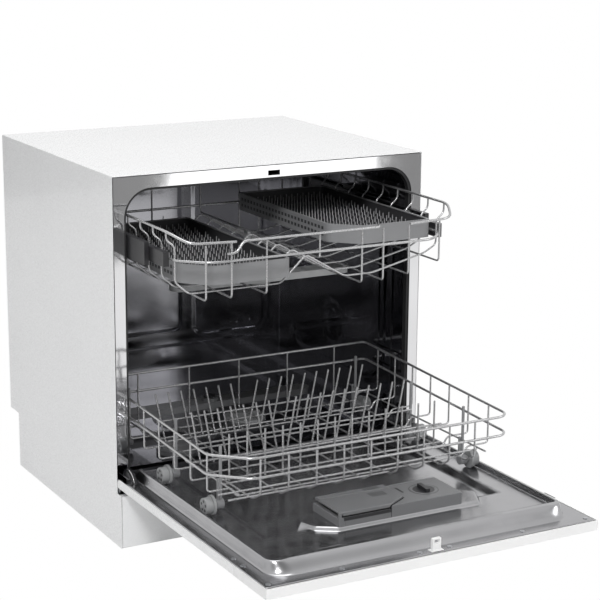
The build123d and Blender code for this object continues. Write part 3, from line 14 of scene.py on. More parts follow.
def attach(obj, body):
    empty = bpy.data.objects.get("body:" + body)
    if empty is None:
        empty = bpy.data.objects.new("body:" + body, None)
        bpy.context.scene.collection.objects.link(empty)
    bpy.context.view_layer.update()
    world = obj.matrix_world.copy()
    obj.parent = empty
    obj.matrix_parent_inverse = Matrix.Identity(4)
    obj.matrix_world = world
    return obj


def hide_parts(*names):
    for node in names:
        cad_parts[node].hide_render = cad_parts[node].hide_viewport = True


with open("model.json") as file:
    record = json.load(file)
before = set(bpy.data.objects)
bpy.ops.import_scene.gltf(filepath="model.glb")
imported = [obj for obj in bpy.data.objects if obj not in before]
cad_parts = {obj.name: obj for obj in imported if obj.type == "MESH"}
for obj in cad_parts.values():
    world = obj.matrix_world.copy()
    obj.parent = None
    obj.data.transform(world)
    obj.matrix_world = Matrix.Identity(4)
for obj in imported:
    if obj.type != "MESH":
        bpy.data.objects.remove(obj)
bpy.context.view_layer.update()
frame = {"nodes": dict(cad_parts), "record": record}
NODES = frame["nodes"]
SHIFT_Y = 8.5


def place(point):
    """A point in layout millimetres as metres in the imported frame."""
    return (point[0] / 1000, (point[1] + SHIFT_Y) / 1000, point[2] / 1000)


# Materials

NOISE_LOW = 0.3
NOISE_HIGH = 0.7
DRIFT_SCALE = 7.0
BUMP_DEPTH = 0.0004
COAT_ROUGH = 0.05


def noise(tree, where, scale, detail):
    """A noise over the object's own coordinates."""
    made = tree.nodes.new("ShaderNodeTexNoise")
    made.inputs["Scale"].default_value = scale
    made.inputs["Detail"].default_value = detail
    tree.links.new(where.outputs["Object"], made.inputs["Vector"])
    return made.outputs["Fac"]


def remap(tree, source, to_low, to_high, from_low=NOISE_LOW, from_high=NOISE_HIGH):
    """A value moved from one range to another."""
    made = tree.nodes.new("ShaderNodeMapRange")
    ends = {"From Min": from_low, "From Max": from_high, "To Min": to_low, "To Max": to_high}
    for key, value in ends.items():
        made.inputs[key].default_value = value
    tree.links.new(source, made.inputs["Value"])
    return made.outputs["Result"]


def finish(name, color, metallic, rough, grain=400.0, bump=0.05, wander=0.04, coat=0.0, spread=0.06):
    """A procedural finish: colour drift, roughness drift and a fine surface grain."""
    made = bpy.data.materials.new(name)
    made.use_nodes = True
    tree = made.node_tree
    shader = tree.nodes["Principled BSDF"]
    shader.inputs["Metallic"].default_value = metallic
    if coat:
        shader.inputs["Coat Weight"].default_value = coat
        shader.inputs["Coat Roughness"].default_value = COAT_ROUGH
    link = tree.links.new
    where = tree.nodes.new("ShaderNodeTexCoord")
    drift = noise(tree, where, DRIFT_SCALE, 3.0)
    fine = noise(tree, where, grain, 2.0)
    tint = tree.nodes.new("ShaderNodeMix")
    tint.data_type = "RGBA"
    tint.blend_type = "MULTIPLY"
    tint.inputs["Factor"].default_value = 1.0
    tint.inputs[6].default_value = (*color, 1)
    link(remap(tree, drift, 1 - wander, 1 + wander), tint.inputs[7])
    link(tint.outputs[2], shader.inputs["Base Color"])
    smoothest = max(0.02, rough - spread)
    roughest = min(1.0, rough + spread)
    link(remap(tree, fine, smoothest, roughest), shader.inputs["Roughness"])
    if bump:
        raised = tree.nodes.new("ShaderNodeBump")
        raised.inputs["Strength"].default_value = bump
        raised.inputs["Distance"].default_value = BUMP_DEPTH
        link(fine, raised.inputs["Height"])
        link(raised.outputs["Normal"], shader.inputs["Normal"])
    return made


WHITE_ENAMEL = finish("white_enamel", (0.86, 0.865, 0.87), 0.0, 0.28,
                      grain=900, bump=0.03, wander=0.01, coat=0.3)
WHITE_PLASTIC = finish("white_plastic", (0.84, 0.84, 0.84), 0.0, 0.33,
                       grain=700, bump=0.04, wander=0.012)
FLANGE_STEEL = finish("flange_steel", (0.78, 0.78, 0.79), 1.0, 0.06,
                      grain=18, bump=0.5, wander=0.05, spread=0.02)
# The stainless of the tub, with a darker colour than the flange's: painted shade for the inside of the tub.
SHADED_TUB_STEEL = finish("tub_steel_painted_shade", (0.36, 0.36, 0.38), 1.0, 0.11,
                   grain=14, bump=0.12, wander=0.10, spread=0.04)
# The same stainless, darker still: painted shade on the tub's side walls.
SHADED_SIDE_STEEL = finish("side_steel_painted_shade", (0.15, 0.15, 0.16), 1.0, 0.10,
                    grain=14, bump=0.12, wander=0.10, spread=0.04)
DOOR_STEEL = finish("door_steel", (0.40, 0.40, 0.41), 1.0, 0.22,
                    grain=30, bump=0.06, wander=0.06, spread=0.05)
ZINC = finish("zinc_plate", (0.50, 0.51, 0.53), 1.0, 0.35, grain=500, bump=0.05, wander=0.06)
CHROME = finish("chrome_edge", (0.75, 0.75, 0.76), 1.0, 0.08,
                grain=500, bump=0.01, wander=0.02, spread=0.02)
SPRING = finish("spring_wire", (0.32, 0.32, 0.33), 1.0, 0.35, grain=900, bump=0.05)
WIRE = finish("basket_coating", (0.46, 0.46, 0.465), 0.75, 0.26,
              grain=1200, bump=0.10, wander=0.08, coat=0.4)
GREY = finish("grey_moulding", (0.30, 0.305, 0.31), 0.0, 0.42, grain=1500, bump=0.12, wander=0.05)
# The tray's plastic made lighter for the spike tips: painted light on the tips.
LIT_PIN_TIPS = finish("tray_pin_tips_painted_light", (0.42, 0.42, 0.43), 0.0, 0.3,
              grain=1500, bump=0.12, wander=0.06, coat=0.3)
TRAY = finish("tray_moulding", (0.23, 0.232, 0.238), 0.0, 0.40, grain=1500, bump=0.12, wander=0.06)
WHEEL = finish("wheel_moulding", (0.24, 0.243, 0.25), 0.0, 0.38, grain=1500, bump=0.10, wander=0.05)
# Near-black painted shade for the inside of the trays: their inner walls, a sheet over the floor and the feet
# of the spikes.
SHADE = finish("tray_painted_shade", (0.045, 0.045, 0.048), 0.0, 0.5, grain=1500, bump=0.12, wander=0.1)
DARK = finish("dispenser_moulding", (0.155, 0.157, 0.162), 0.0, 0.36,
              grain=1700, bump=0.14, wander=0.05)
# Black plastic, and also the black of flat marks of painted shade in holes, slots, grooves and gaps.
BLACK = finish("black_moulding_and_hole_shade", (0.022, 0.022, 0.024), 0.0, 0.35,
               grain=1500, bump=0.12, wander=0.1)
RUBBER = finish("seal_rubber", (0.018, 0.018, 0.019), 0.0, 0.6, grain=900, bump=0.2, wander=0.1)
HOSE = finish("hose_rubber", (0.20, 0.20, 0.21), 0.0, 0.55, grain=900, bump=0.15)
NATURAL = finish("natural_plastic", (0.62, 0.62, 0.60), 0.0, 0.5, grain=1200, bump=0.12)
BOARD = finish("board_laminate", (0.03, 0.14, 0.06), 0.0, 0.4, grain=1500, bump=0.1)
FILTER = finish("filter_steel", (0.30, 0.30, 0.31), 1.0, 0.3, grain=2500, bump=0.6, wander=0.08)

BY_SLOT = {
    "case_white": WHITE_ENAMEL,
    "stainless": SHADED_TUB_STEEL,
    "zinc_steel": ZINC,
    "spring_steel": SPRING,
    "basket_wire": WIRE,
    "grey_plastic": GREY,
    "dark_plastic": DARK,
    "black_plastic": BLACK,
    "white_plastic": WHITE_PLASTIC,
    "service_plastic": NATURAL,
    "board_green": BOARD,
    "rubber_black": RUBBER,
    "rubber_grey": HOSE,
    "filter_steel": FILTER,
}
SLOT_OF = {part["node"]: part["material_slot"] for part in frame["record"]["subparts"]}
for name, piece in NODES.items():
    piece.data.materials.clear()
    piece.data.materials.append(BY_SLOT[SLOT_OF[name]])


def repaint(mat, *names):
    """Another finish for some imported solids."""
    for name in names:
        NODES[name].data.materials.clear()
        NODES[name].data.materials.append(mat)


def soften(name, width, angle=35.0):
    """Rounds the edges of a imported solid."""
    piece = NODES[name]
    weld = piece.modifiers.new("weld", "WELD")
    weld.merge_threshold = 0.00002
    edge = piece.modifiers.new("edge", "BEVEL")
    edge.width = width / 1000
    edge.segments = 2
    edge.limit_method = "ANGLE"
    edge.angle_limit = math.radians(angle)
    edge.harden_normals = True


# Building blocks

def settle(piece, mat, body):
    """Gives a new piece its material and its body."""
    piece.data.materials.append(mat)
    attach(piece, body)
    return piece


def mesh_piece(name, points, faces, mat, body, angle=30.0):
    """A mesh from layout points."""
    data = bpy.data.meshes.new(name)
    data.from_pydata([place(p) for p in points], [], faces)
    data.validate()
    data.update()
    piece = bpy.data.objects.new(name, data)
    bpy.context.scene.collection.objects.link(piece)
    shade(data, angle)
    return settle(piece, mat, body)


def shade(data, angle):
    """Smooth shading, sharp only over the given angle."""
    work = bmesh.new()
    work.from_mesh(data)
    for face in work.faces:
        face.smooth = True
    for edge in work.edges:
        if len(edge.link_faces) == 2:
            edge.smooth = edge.calc_face_angle(0.0) < math.radians(angle)
    work.to_mesh(data)
    work.free()


def corner_bend(before, corner, after, bend, steps):
    """Points of the bend that rounds off one corner."""
    one = before - corner
    two = after - corner
    cut = min(bend, one.length * 0.49, two.length * 0.49)
    start = corner + one.normalized() * cut
    end = corner + two.normalized() * cut
    shares = [step / steps for step in range(steps + 1)]
    return [start * (1 - t) ** 2 + corner * 2 * t * (1 - t) + end * t ** 2 for t in shares]


def rounded(points, bend, steps=4):
    """A path with its corners rounded off."""
    way = [Vector(p) for p in points]
    if len(way) < 3 or bend <= 0:
        return way
    done = [way[0]]
    for before, corner, after in zip(way, way[1:], way[2:]):
        done += corner_bend(before, corner, after, bend, steps)
    done.append(way[-1])
    return done


def closed_round(points, bend, steps=6):
    """A closed path with its corners rounded off."""
    way = [Vector(p) for p in points]
    done = []
    for before, corner, after in zip(way[-1:] + way[:-1], way, way[1:] + way[:1]):
        done += corner_bend(before, corner, after, bend, steps)
    return done


def wires(name, runs, mat, body, sides=4):
    """Round wires: each run is (points, radius, closed)."""
    data = bpy.data.curves.new(name, "CURVE")
    data.dimensions = "3D"
    data.bevel_depth = 0.001
    data.bevel_resolution = sides
    data.use_fill_caps = True
    for points, radius, closed in runs:
        line = data.splines.new("POLY")
        line.points.add(len(points) - 1)
        for spot, point in zip(line.points, points):
            spot.co = (*place(point), 1)
            spot.radius = radius
        line.use_cyclic_u = closed
        line.use_smooth = True
    piece = bpy.data.objects.new(name, data)
    bpy.context.scene.collection.objects.link(piece)
    return settle(piece, mat, body)


THIN = 1.45
THICK = 2.05
# Distances between the centres of crossing wires, thick on thin and thin on thin
THICK_LAP = 3.3
THIN_LAP = 2.7


def run(points, radius=THIN, bend=5.0):
    """One open wire."""
    return (rounded(points, bend), radius, False)


def ring(points, radius=THIN, bend=12.0):
    """One closed wire."""
    return (closed_round(points, bend), radius, True)


def spread(start, stop, pitch):
    """Evenly pitched places."""
    count = int((stop - start) / pitch + 1.001)
    return [start + index * pitch for index in range(count)]


# Lower basket, the same wires as the solids with real bends

LOW_HALF = 247.0
LOW_CORNER = 48.0
LOW_RIGHT_CORNER = 14.0
LOW_FRONT = -310.0
LOW_REAR = 125.0
LOW_RIM_Z = 246.0
LOW_RIM2_Z = 216.0
LOW_RIM_DROP = 13.0
SHOULDER_Z = 174.0
SHOULDER_X = 205.0
LOW_FLOOR_Z = 160.0
LOW_OVER = LOW_FLOOR_Z + THIN_LAP
HOOP_START = 54.0
HOOP_PITCH = 55.0
LONG_PITCH = 46.0
LONG_X = 184.0
RUNNER_X = 211.5
RUNNER_Z = 176.7
TINE_PITCH = 22.0
TINE_LEAN = 16.0
TINE_ROWS = ((-110.0, 247.0), (20.0, 240.0))
SHORT_PITCH = 30.0
SHORT_ROW_Y = -200.0
SHORT_ROW_Z = 236.0


def rim_loop(half, front, rear, z, corner, right_corner, drop=0.0):
    """A basket rim with cut front corners, lower at the front by the drop."""
    low = z - drop
    return [
        (-half, rear, z), (-half, front + corner, low), (-half + corner, front, low),
        (half - right_corner, front, low), (half, front + right_corner, low), (half, rear, z),
    ]


def tines(y, top):
    """A row of plate tines leaning outwards, with its cross wires."""
    made = []
    span = SHOULDER_X - 8
    for first, last, lean in ((-span + 14, -45, -TINE_LEAN), (-34, span - 14, TINE_LEAN)):
        for x in spread(first, last, TINE_PITCH):
            made.append(run([(x, y, LOW_OVER), (x + lean, y, top)], THIN, 0))
    for z in (LOW_OVER + THIN_LAP, LOW_OVER + 31):
        made.append(run([(-span, y + 2.6, z), (span, y + 2.6, z)], THIN, 0))
    return made


def lower_basket():
    """All wires of the plate basket."""
    made = []
    for z in (LOW_RIM_Z, LOW_RIM2_Z):
        loop = rim_loop(LOW_HALF, LOW_FRONT, LOW_REAR, z, LOW_CORNER, LOW_RIGHT_CORNER, LOW_RIM_DROP)
        made.append(ring(loop, THICK, 9))
    inside = LOW_HALF - THICK_LAP
    for y in spread(LOW_FRONT + HOOP_START, LOW_REAR - 10, HOOP_PITCH):
        top = LOW_RIM_Z - LOW_RIM_DROP * (LOW_REAR - y) / (LOW_REAR - LOW_FRONT)
        made.append(run([
            (-inside, y, top), (-inside, y, SHOULDER_Z), (-SHOULDER_X, y, SHOULDER_Z),
            (-SHOULDER_X + 8, y, LOW_FLOOR_Z), (SHOULDER_X - 8, y, LOW_FLOOR_Z),
            (SHOULDER_X, y, SHOULDER_Z), (inside, y, SHOULDER_Z), (inside, y, top),
        ], THIN, 6))
    front = LOW_FRONT + THICK_LAP
    rear = LOW_REAR - THICK_LAP
    for index, x in enumerate(spread(-LONG_X, LONG_X, LONG_PITCH)):
        way = [(x, front, LOW_RIM_Z - LOW_RIM_DROP), (x, front, LOW_OVER + 13), (x, front + 24, LOW_OVER)]
        if index % 2:
            way += [(x, rear - 40, LOW_OVER)]
        else:
            way += [(x, rear, LOW_OVER), (x, rear, LOW_RIM_Z)]
        made.append(run(way, THIN, 6))
    low_wires = ((-190, 190, front + 2.6, 26), (-236, 130, front + 30, 15), (-223, 46, front + 24, 6.4))
    for start, stop, y, rise in low_wires:
        made.append(run([(start, y, LOW_FLOOR_Z + rise), (stop, y, LOW_FLOOR_Z + rise)], THIN, 0))
    for side in (-1, 1):
        x = side * RUNNER_X
        made.append(run([(x, front + 10, RUNNER_Z), (x, rear - 4, RUNNER_Z)], THIN, 0))
    for y, top in TINE_ROWS:
        made += tines(y, top)
    for x in spread(-180, 195, SHORT_PITCH):
        made.append(run([(x, SHORT_ROW_Y, LOW_OVER), (x, SHORT_ROW_Y, SHORT_ROW_Z)], THIN, 0))
    behind = SHORT_ROW_Y + 2.6
    for z in (LOW_OVER + THIN_LAP, 196):
        made.append(run([(-195, behind, z), (195, behind, z)], THIN, 0))
    return made


basket = wires("lower_basket_wires", lower_basket(), WIRE, "lower_rack", 3)
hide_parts("lower_basket")

# Upper basket

UP_HALF = 245.0
UP_FRONT = -165.0
UP_REAR = 253.0
UP_RIM_Z = 532.0
UP_MID_Z = 515.0
UP_RIM2_Z = 487.0
UP_STEP_X = 228.0
UP_LOW_Z = 433.0
UP_CREST_Z = 473.0
UP_HOOP_PITCH = 46.0
UP_LONG_X = (-198, -156, -98, 66, 104)
UP_RIGHT_X = (150, 206)


def upper_basket():
    """All wires of the cup basket."""
    half = UP_HALF
    front = UP_FRONT
    made = []
    left_rim = [
        (half, UP_REAR, UP_RIM_Z), (-half, UP_REAR, UP_RIM_Z), (-half, front + 40, UP_RIM_Z),
        (-half + 20, front, UP_RIM_Z - 14), (-150, front, UP_RIM_Z - 17),
    ]
    made.append(run(left_rim, THICK, 16))
    made.append(run([
        (half, UP_REAR, UP_RIM_Z), (half, front + 40, UP_RIM_Z), (half - 20, front, UP_RIM_Z - 14),
        (150, front, UP_RIM_Z - 17),
    ], THICK, 16))
    made.append(run([
        (-165, front, UP_MID_Z - 17), (-150, front, UP_MID_Z - 17), (-138, front, UP_MID_Z),
        (95, front, UP_MID_Z), (100, front + 12, UP_MID_Z),
    ], THICK, 7))
    made.append(ring(rim_loop(UP_STEP_X + THICK_LAP, front, UP_REAR, UP_RIM2_Z, 40.0, 40.0), THICK, 16))
    for y in spread(front + UP_HOOP_PITCH, UP_REAR - 4, UP_HOOP_PITCH):
        left = [
            (-half + 3.4, y, UP_RIM_Z), (-half + 3.4, y, UP_RIM_Z - 15), (-UP_STEP_X, y, UP_RIM_Z - 25),
            (-UP_STEP_X, y, UP_LOW_Z + 20), (-206, y, UP_LOW_Z),
        ]
        wave = [(-52, y, UP_LOW_Z), (-8, y, UP_CREST_Z), (60, y, UP_LOW_Z), (110, y, UP_LOW_Z)]
        right = [
            (206, y, UP_LOW_Z + 22), (UP_STEP_X, y, UP_LOW_Z + 34), (UP_STEP_X, y, UP_RIM_Z - 25),
            (half - 3.4, y, UP_RIM_Z - 15), (half - 3.4, y, UP_RIM_Z),
        ]
        made.append(run(left + wave + right, THIN, 7))
    under = UP_LOW_Z - THIN_LAP
    runs = [(x, UP_MID_Z - 2, under) for x in UP_LONG_X]
    runs.append((-8, UP_MID_Z, UP_CREST_Z + THIN_LAP))
    for x in UP_RIGHT_X:
        runs.append((x, UP_RIM_Z - 18, UP_LOW_Z + (7 if x < 200 else 22) - 5))
    behind = front + THICK_LAP
    rear = UP_REAR - THICK_LAP
    for x, top, low in runs:
        way = [(x, behind, top), (x, behind, low), (x, rear, low), (x, rear, UP_RIM_Z)]
        made.append(run(way, THIN, 7))
    return made


cups = wires("upper_basket_wires", upper_basket(), WIRE, "upper_rack", 3)
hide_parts("upper_basket")

# Inner door: one pressed sheet

def lines(*bands):
    """Grid lines from bands of (start, stop, step)."""
    values = set()
    for start, stop, step in bands:
        count = max(1, int(round((stop - start) / step)))
        values.update(round(start + (stop - start) * i / count, 4) for i in range(count + 1))
    return np.array(sorted(values))


def ease(value):
    """A smooth step from 0 to 1."""
    t = np.clip(value, 0, 1)
    return t * t * (3 - 2 * t)


RIM_Z = 120.0
PAN_Z = 137.0
TRACK_Z = 129.0
WELL_Z = 121.2
PAN_HALF = 251.0
PAN_FRONT = -472.0
PAN_R = 36.0
PAN_SIDE_RUN = 6.0
PAN_FRONT_RUN = 25.0
TRACK_HALF = 242.0
TRACK_FRONT = -440.0
WELL_HALF = 207.0
WELL_START = -360.0
WELL_FRONT = -356.0
SILL_Y = -3.0
SEAT_TOP = 134.5
SEAT_SLOPE = 7.0
TUB_HALF = 256.0
HINGE_CUT_Y = -39.5
SEAT = [
    (-128, -306), (-90, -284), (125, -284), (170, -340), (148, -382), (-95, -382), (-126, -362),
    (-139, -333),
]


def inside_polygon(px, py, corners):
    """Distance inside a convex polygon."""
    depth = np.full(px.shape, 1e9)
    count = len(corners)
    area = sum(corners[i - 1][0] * corners[i][1] - corners[i][0] * corners[i - 1][1] for i in range(count))
    turn = 1 if area > 0 else -1
    for index in range(count):
        x0, y0 = corners[index - 1]
        x1, y1 = corners[index]
        length = math.hypot(x1 - x0, y1 - y0)
        depth = np.minimum(depth, turn * ((x1 - x0) * (py - y0) - (y1 - y0) * (px - x0)) / length)
    return depth


def door_height(px, py):
    """Height of the pressed inner door."""
    across = np.abs(px)
    edge = np.minimum((PAN_HALF - across) / PAN_SIDE_RUN, (py - PAN_FRONT) / PAN_FRONT_RUN)
    over = np.maximum(across - (PAN_HALF - PAN_R), 0)
    past = np.maximum(PAN_FRONT + PAN_R - py, 0)
    reach = np.hypot(over, past)
    frontal = (past / np.maximum(reach, 0.001)) ** 2
    width = PAN_SIDE_RUN + (PAN_FRONT_RUN - PAN_SIDE_RUN) * frontal
    edge = np.where((over > 0) & (past > 0), (PAN_R - reach) / width, edge)
    height = RIM_Z + (PAN_Z - RIM_Z) * ease(edge)
    side = ease((TRACK_HALF - across) / 4)
    track = PAN_Z - (PAN_Z - TRACK_Z) * np.minimum(side, ease((py - TRACK_FRONT) / 12))
    height = np.where(edge > 1, np.minimum(height, track), height)
    fall = np.minimum(ease((WELL_HALF - across) / 22), ease((py - WELL_FRONT) / 24))
    well = TRACK_Z - (TRACK_Z - WELL_Z) * fall
    height = np.where((across < WELL_HALF) & (py > WELL_START), np.minimum(height, well), height)
    height = height + (SEAT_TOP - height) * ease(inside_polygon(px, py, SEAT) / SEAT_SLOPE)
    return np.minimum(height, RIM_Z + np.maximum(0, SILL_Y - py))


def grid_faces(us, vs, keep):
    """Faces over a grid, where keep says yes to a face's middle."""
    wide = len(us)
    faces = []
    for j in range(len(vs) - 1):
        for i in range(wide - 1):
            if keep((us[i] + us[i + 1]) / 2, (vs[j] + vs[j + 1]) / 2):
                a = j * wide + i
                faces.append((a, a + 1, a + wide + 1, a + wide))
    return faces


def thicken(piece, thick, offset):
    """Gives a sheet its thickness in millimetres."""
    skin = piece.modifiers.new("thick", "SOLIDIFY")
    skin.thickness = thick / 1000
    skin.offset = offset


def sheet(name, xs, ys, height, keep, mat, body, thick):
    """A pressed sheet on a grid, given thickness downwards."""
    gx, gy = np.meshgrid(xs, ys)
    gz = height(gx, gy)
    points = np.stack([gx.ravel(), gy.ravel(), gz.ravel()], 1).tolist()
    piece = mesh_piece(name, points, grid_faces(xs, ys, keep), mat, body, 60)
    loose_verts(piece.data)
    thicken(piece, thick, -1)
    return piece


def loose_verts(data):
    """Drops points that no face uses."""
    work = bmesh.new()
    work.from_mesh(data)
    bmesh.ops.delete(work, geom=[v for v in work.verts if not v.link_faces], context="VERTS")
    work.to_mesh(data)
    work.free()


door_x = lines((-273.7, -253, 4), (-253, -180, 1.2), (-180, -140, 5), (-140, 166, 1.8), (166, 253, 1.2),
               (253, 273.7, 4))
door_y = lines((-493, -473, 4), (-473, -441, 1.2), (-441, -390, 3), (-390, -280, 1.5), (-280, -45, 9),
               (-45, -7, 1.5))
inner = sheet("inner_door_sheet", door_x, door_y, door_height,
              lambda x, y: not (abs(x) > TUB_HALF and y > HINGE_CUT_Y),
              DOOR_STEEL, "door", 0.8)
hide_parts("inner_panel")

# Blocks and plates

def bar(x0, x1, y0, y1, z0, z1):
    """Corners and faces of a box."""
    points = [(x, y, z) for z in (z0, z1) for y in (y0, y1) for x in (x0, x1)]
    faces = [(0, 2, 3, 1), (4, 5, 7, 6), (0, 1, 5, 4), (2, 6, 7, 3), (0, 4, 6, 2), (1, 3, 7, 5)]
    return points, faces


def skin_faces(count):
    """Faces of a block between two rings of points."""
    faces = [tuple(range(count - 1, -1, -1)), tuple(range(count, 2 * count))]
    return faces + [(i, (i + 1) % count, count + (i + 1) % count, count + i) for i in range(count)]


def prism(edge, z0, z1):
    """A straight-sided block over an outline given anticlockwise."""
    return [(x, y, z) for z in (z0, z1) for x, y in edge], skin_faces(len(edge))


def round_edge(x, y, r, steps=28):
    """A circle as an outline."""
    turns = [2 * math.pi * k / steps for k in range(steps)]
    return [(x + r * math.cos(turn), y + r * math.sin(turn)) for turn in turns]


def stem(x, y, z0, z1, r0, r1, sides=8):
    """An upright round bar that may taper."""
    points = [(px, py, z0) for px, py in round_edge(x, y, r0, sides)]
    points += [(px, py, z1) for px, py in round_edge(x, y, r1, sides)]
    return points, skin_faces(sides)


def disc(side, x0, x1, y, z, r, steps):
    """A round plate across x, on the side of the machine given by the sign."""
    edge = round_edge(0, 0, r, steps)
    points = [(side * x, y + a, z + b) for x in (x0, x1) for a, b in edge]
    faces = skin_faces(steps)
    if side < 0:
        faces = [face[::-1] for face in faces]
    return points, faces


def piece_of(name, parts, mat, body, edge=0.0, angle=35.0):
    """One piece from several blocks, with its edges rounded."""
    points = []
    faces = []
    for some_points, some_faces in parts:
        start = len(points)
        points += some_points
        faces += [tuple(index + start for index in face) for face in some_faces]
    piece = mesh_piece(name, points, faces, mat, body, angle)
    if edge:
        rounder = piece.modifiers.new("edge", "BEVEL")
        rounder.width = edge / 1000
        rounder.segments = 2
        rounder.limit_method = "ANGLE"
        rounder.angle_limit = math.radians(40)
    return piece


# Shelves of the upper basket

TRAY_CUT = 40.0
TRAY_WALL = 1.8
TRAY_RIM = 1.6
SPIKE_PITCH_X = 11.0
SPIKE_PITCH_Y = 20.0
STUMP_H = 12.0
SPIKE_H = 21.0
HOLE_PITCH = 11.0
# How far flat marks stand out from the face below them
MARK = 0.12


def tray_edge(x0, x1, y0, y1, inset):
    """Outline of a shelf with a rounded front left corner."""
    cut = TRAY_CUT - 0.6 * inset
    loop = [
        (x1 - inset, y1 - inset), (x0 + inset, y1 - inset), (x0 + inset, y0 + cut + inset),
        (x0 + cut + inset, y0 + inset), (x1 - inset, y0 + inset),
    ]
    return [(p.x, p.y) for p in closed_round([(x, y, 0) for x, y in loop], 9.0, 4)]


def tray(name, x0, x1, y0, y1, z0, z1, node_name):
    """A shelf: thin walls with a rolled rim, a floor with slots and rows of spikes. Painted shade darkens the
    inner walls, the floor and the feet of the spikes, painted light brightens the spike tips, and black marks
    of painted shade stand for the slots and the wall windows.
    """
    outer = tray_edge(x0, x1, y0, y1, 0)
    inner = tray_edge(x0, x1, y0, y1, TRAY_WALL)
    rim = tray_edge(x0, x1, y0, y1, TRAY_WALL + TRAY_RIM)
    count = len(outer)
    lip = z1 - TRAY_RIM
    rings = [(outer, z0), (outer, z1), (rim, z1), (rim, lip), (inner, lip), (inner, z0 + TRAY_WALL)]
    points = [(x, y, z) for edge, z in rings for x, y in edge]
    faces = []
    for level in range(len(rings) - 1):
        for i in range(count):
            j = (i + 1) % count
            a = level * count
            faces.append((a + i, a + j, a + count + j, a + count + i))
    faces.append(tuple(range(count - 1, -1, -1)))
    faces.append(tuple((len(rings) - 1) * count + i for i in range(count)))
    shell = mesh_piece(name, points, faces, TRAY, "upper_rack", 40)
    # The inner walls take the painted shade.
    shell.data.materials.append(SHADE)
    for face in shell.data.polygons[4 * count:5 * count]:
        face.material_index = 1
    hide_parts(node_name)
    floor_z = z0 + TRAY_WALL
    # A dark sheet over the floor is painted shade.
    floor_shade = prism(inner, floor_z, floor_z + MARK)
    piece_of(name + "_floor", [floor_shade], SHADE, "upper_rack")
    spikes = []
    stumps = []
    slots = []
    for row, y in enumerate(spread(y0 + 12, y1 - 10, SPIKE_PITCH_Y)):
        for x in spread(x0 + 9 + SPIKE_PITCH_X / 2 * (row % 2), x1 - 8, SPIKE_PITCH_X):
            if x - x0 + y - y0 > TRAY_CUT + 12:
                # The foot of each spike is a stump of painted shade, its tip a lighter piece of painted
                # light.
                stumps.append(stem(x, y, floor_z, z0 + STUMP_H, 1.3, 1.0, 6))
                spikes.append(stem(x, y, z0 + STUMP_H, z0 + SPIKE_H, 1.0, 0.7, 6))
        # Black marks on the floor stand for its slots: painted shade in the openings.
        for x in spread(x0 + 12, x1 - 16, 22):
            if x - x0 + y - y0 > TRAY_CUT + 24 and y + 12 < y1:
                slots.append(bar(x, x + 9, y + 5, y + 10, floor_z + 0.1, floor_z + 0.2))
    # The spike tips take the lighter plastic of painted light.
    piece_of(name + "_spikes", spikes, LIT_PIN_TIPS, "upper_rack")
    piece_of(name + "_stumps", stumps, SHADE, "upper_rack")
    piece_of(name + "_slots", slots, BLACK, "upper_rack")
    # Black marks on the side walls stand for the windows: painted shade in the openings.
    holes = []
    for level in (z0 + 7.5, z0 + 17.5):
        for y in spread(y0 + TRAY_CUT + 12, y1 - 14, HOLE_PITCH):
            for low, high in ((x0 - 0.15, x0), (x1, x1 + 0.15)):
                holes.append(bar(low, high, y, y + 6, level, level + 5))
    piece_of(name + "_windows", holes, BLACK, "upper_rack")


tray("left_tray_shelf", -212, -44, -138, 225, 446, 475, "left_tray")
tray("right_tray_shelf", 56, 222, -112, 235, 478, 507, "right_tray")

# Dispenser

CAP_X = 72.0
CAP_Y = -339.0
CAP_R = 16.6
SEAT_FOOT = 124.0
DISP_Z = 152.0
DISP_LEFT = -94.0
DISP_RIGHT = 116.0
DISP_FRONT = -376.0
DISP_REAR = -300.0
STEP_X = 26.0
STEP_Y = -357.0
BEND_X = -6.5
TROUGH_Z = 146.5
TROUGH_X = -84.0
LID_Z = 155.4
LID_LEFT = -91.0
LID_RIGHT = 24.5
LID_FRONT = -375.6
LID_REAR = -314.6


def hoop(x, y, r0, r1, z0, z1, steps=40):
    """A flat ring."""
    levels = ((r0, z0), (r1, z0), (r1, z1), (r0, z1))
    points = []
    for r, z in levels:
        points += [(px, py, z) for px, py in round_edge(x, y, r, steps)]
    faces = []
    for level in range(4):
        a = level * steps
        b = (level + 1) % 4 * steps
        for i in range(steps):
            j = (i + 1) % steps
            faces.append((a + i, a + j, b + j, b + i))
    return points, faces


body_parts = [
    bar(DISP_LEFT, TROUGH_X, DISP_FRONT, DISP_REAR, SEAT_FOOT, TROUGH_Z),
    bar(TROUGH_X, BEND_X, DISP_FRONT, DISP_FRONT + 10, SEAT_FOOT, TROUGH_Z),
    bar(TROUGH_X, STEP_X, DISP_REAR - 10, DISP_REAR, SEAT_FOOT, TROUGH_Z),
    bar(TROUGH_X, 8, DISP_FRONT + 10, DISP_REAR - 10, 115, 119),
    prism([
        (STEP_X, DISP_REAR), (STEP_X, STEP_Y), (BEND_X, DISP_FRONT), (DISP_RIGHT, DISP_FRONT),
        (DISP_RIGHT, DISP_REAR),
    ], SEAT_FOOT, DISP_Z),
    bar(DISP_LEFT, -89, DISP_FRONT, -371.5, TROUGH_Z - 1, LID_Z + 0.3),
    bar(34, 110, -306, -300.5, DISP_Z - 1, DISP_Z + 0.6),
    bar(LID_LEFT, LID_RIGHT, LID_REAR + 0.9, -300.5, DISP_Z - 1, LID_Z),
]
unit = piece_of("dispenser_case", body_parts, DARK, "door", 1.2)
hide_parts("dispenser_body")
lid_edge = [
    (LID_LEFT, LID_REAR), (LID_LEFT, LID_FRONT), (-7.5, LID_FRONT), (LID_RIGHT, STEP_Y),
    (LID_RIGHT, LID_REAR),
]
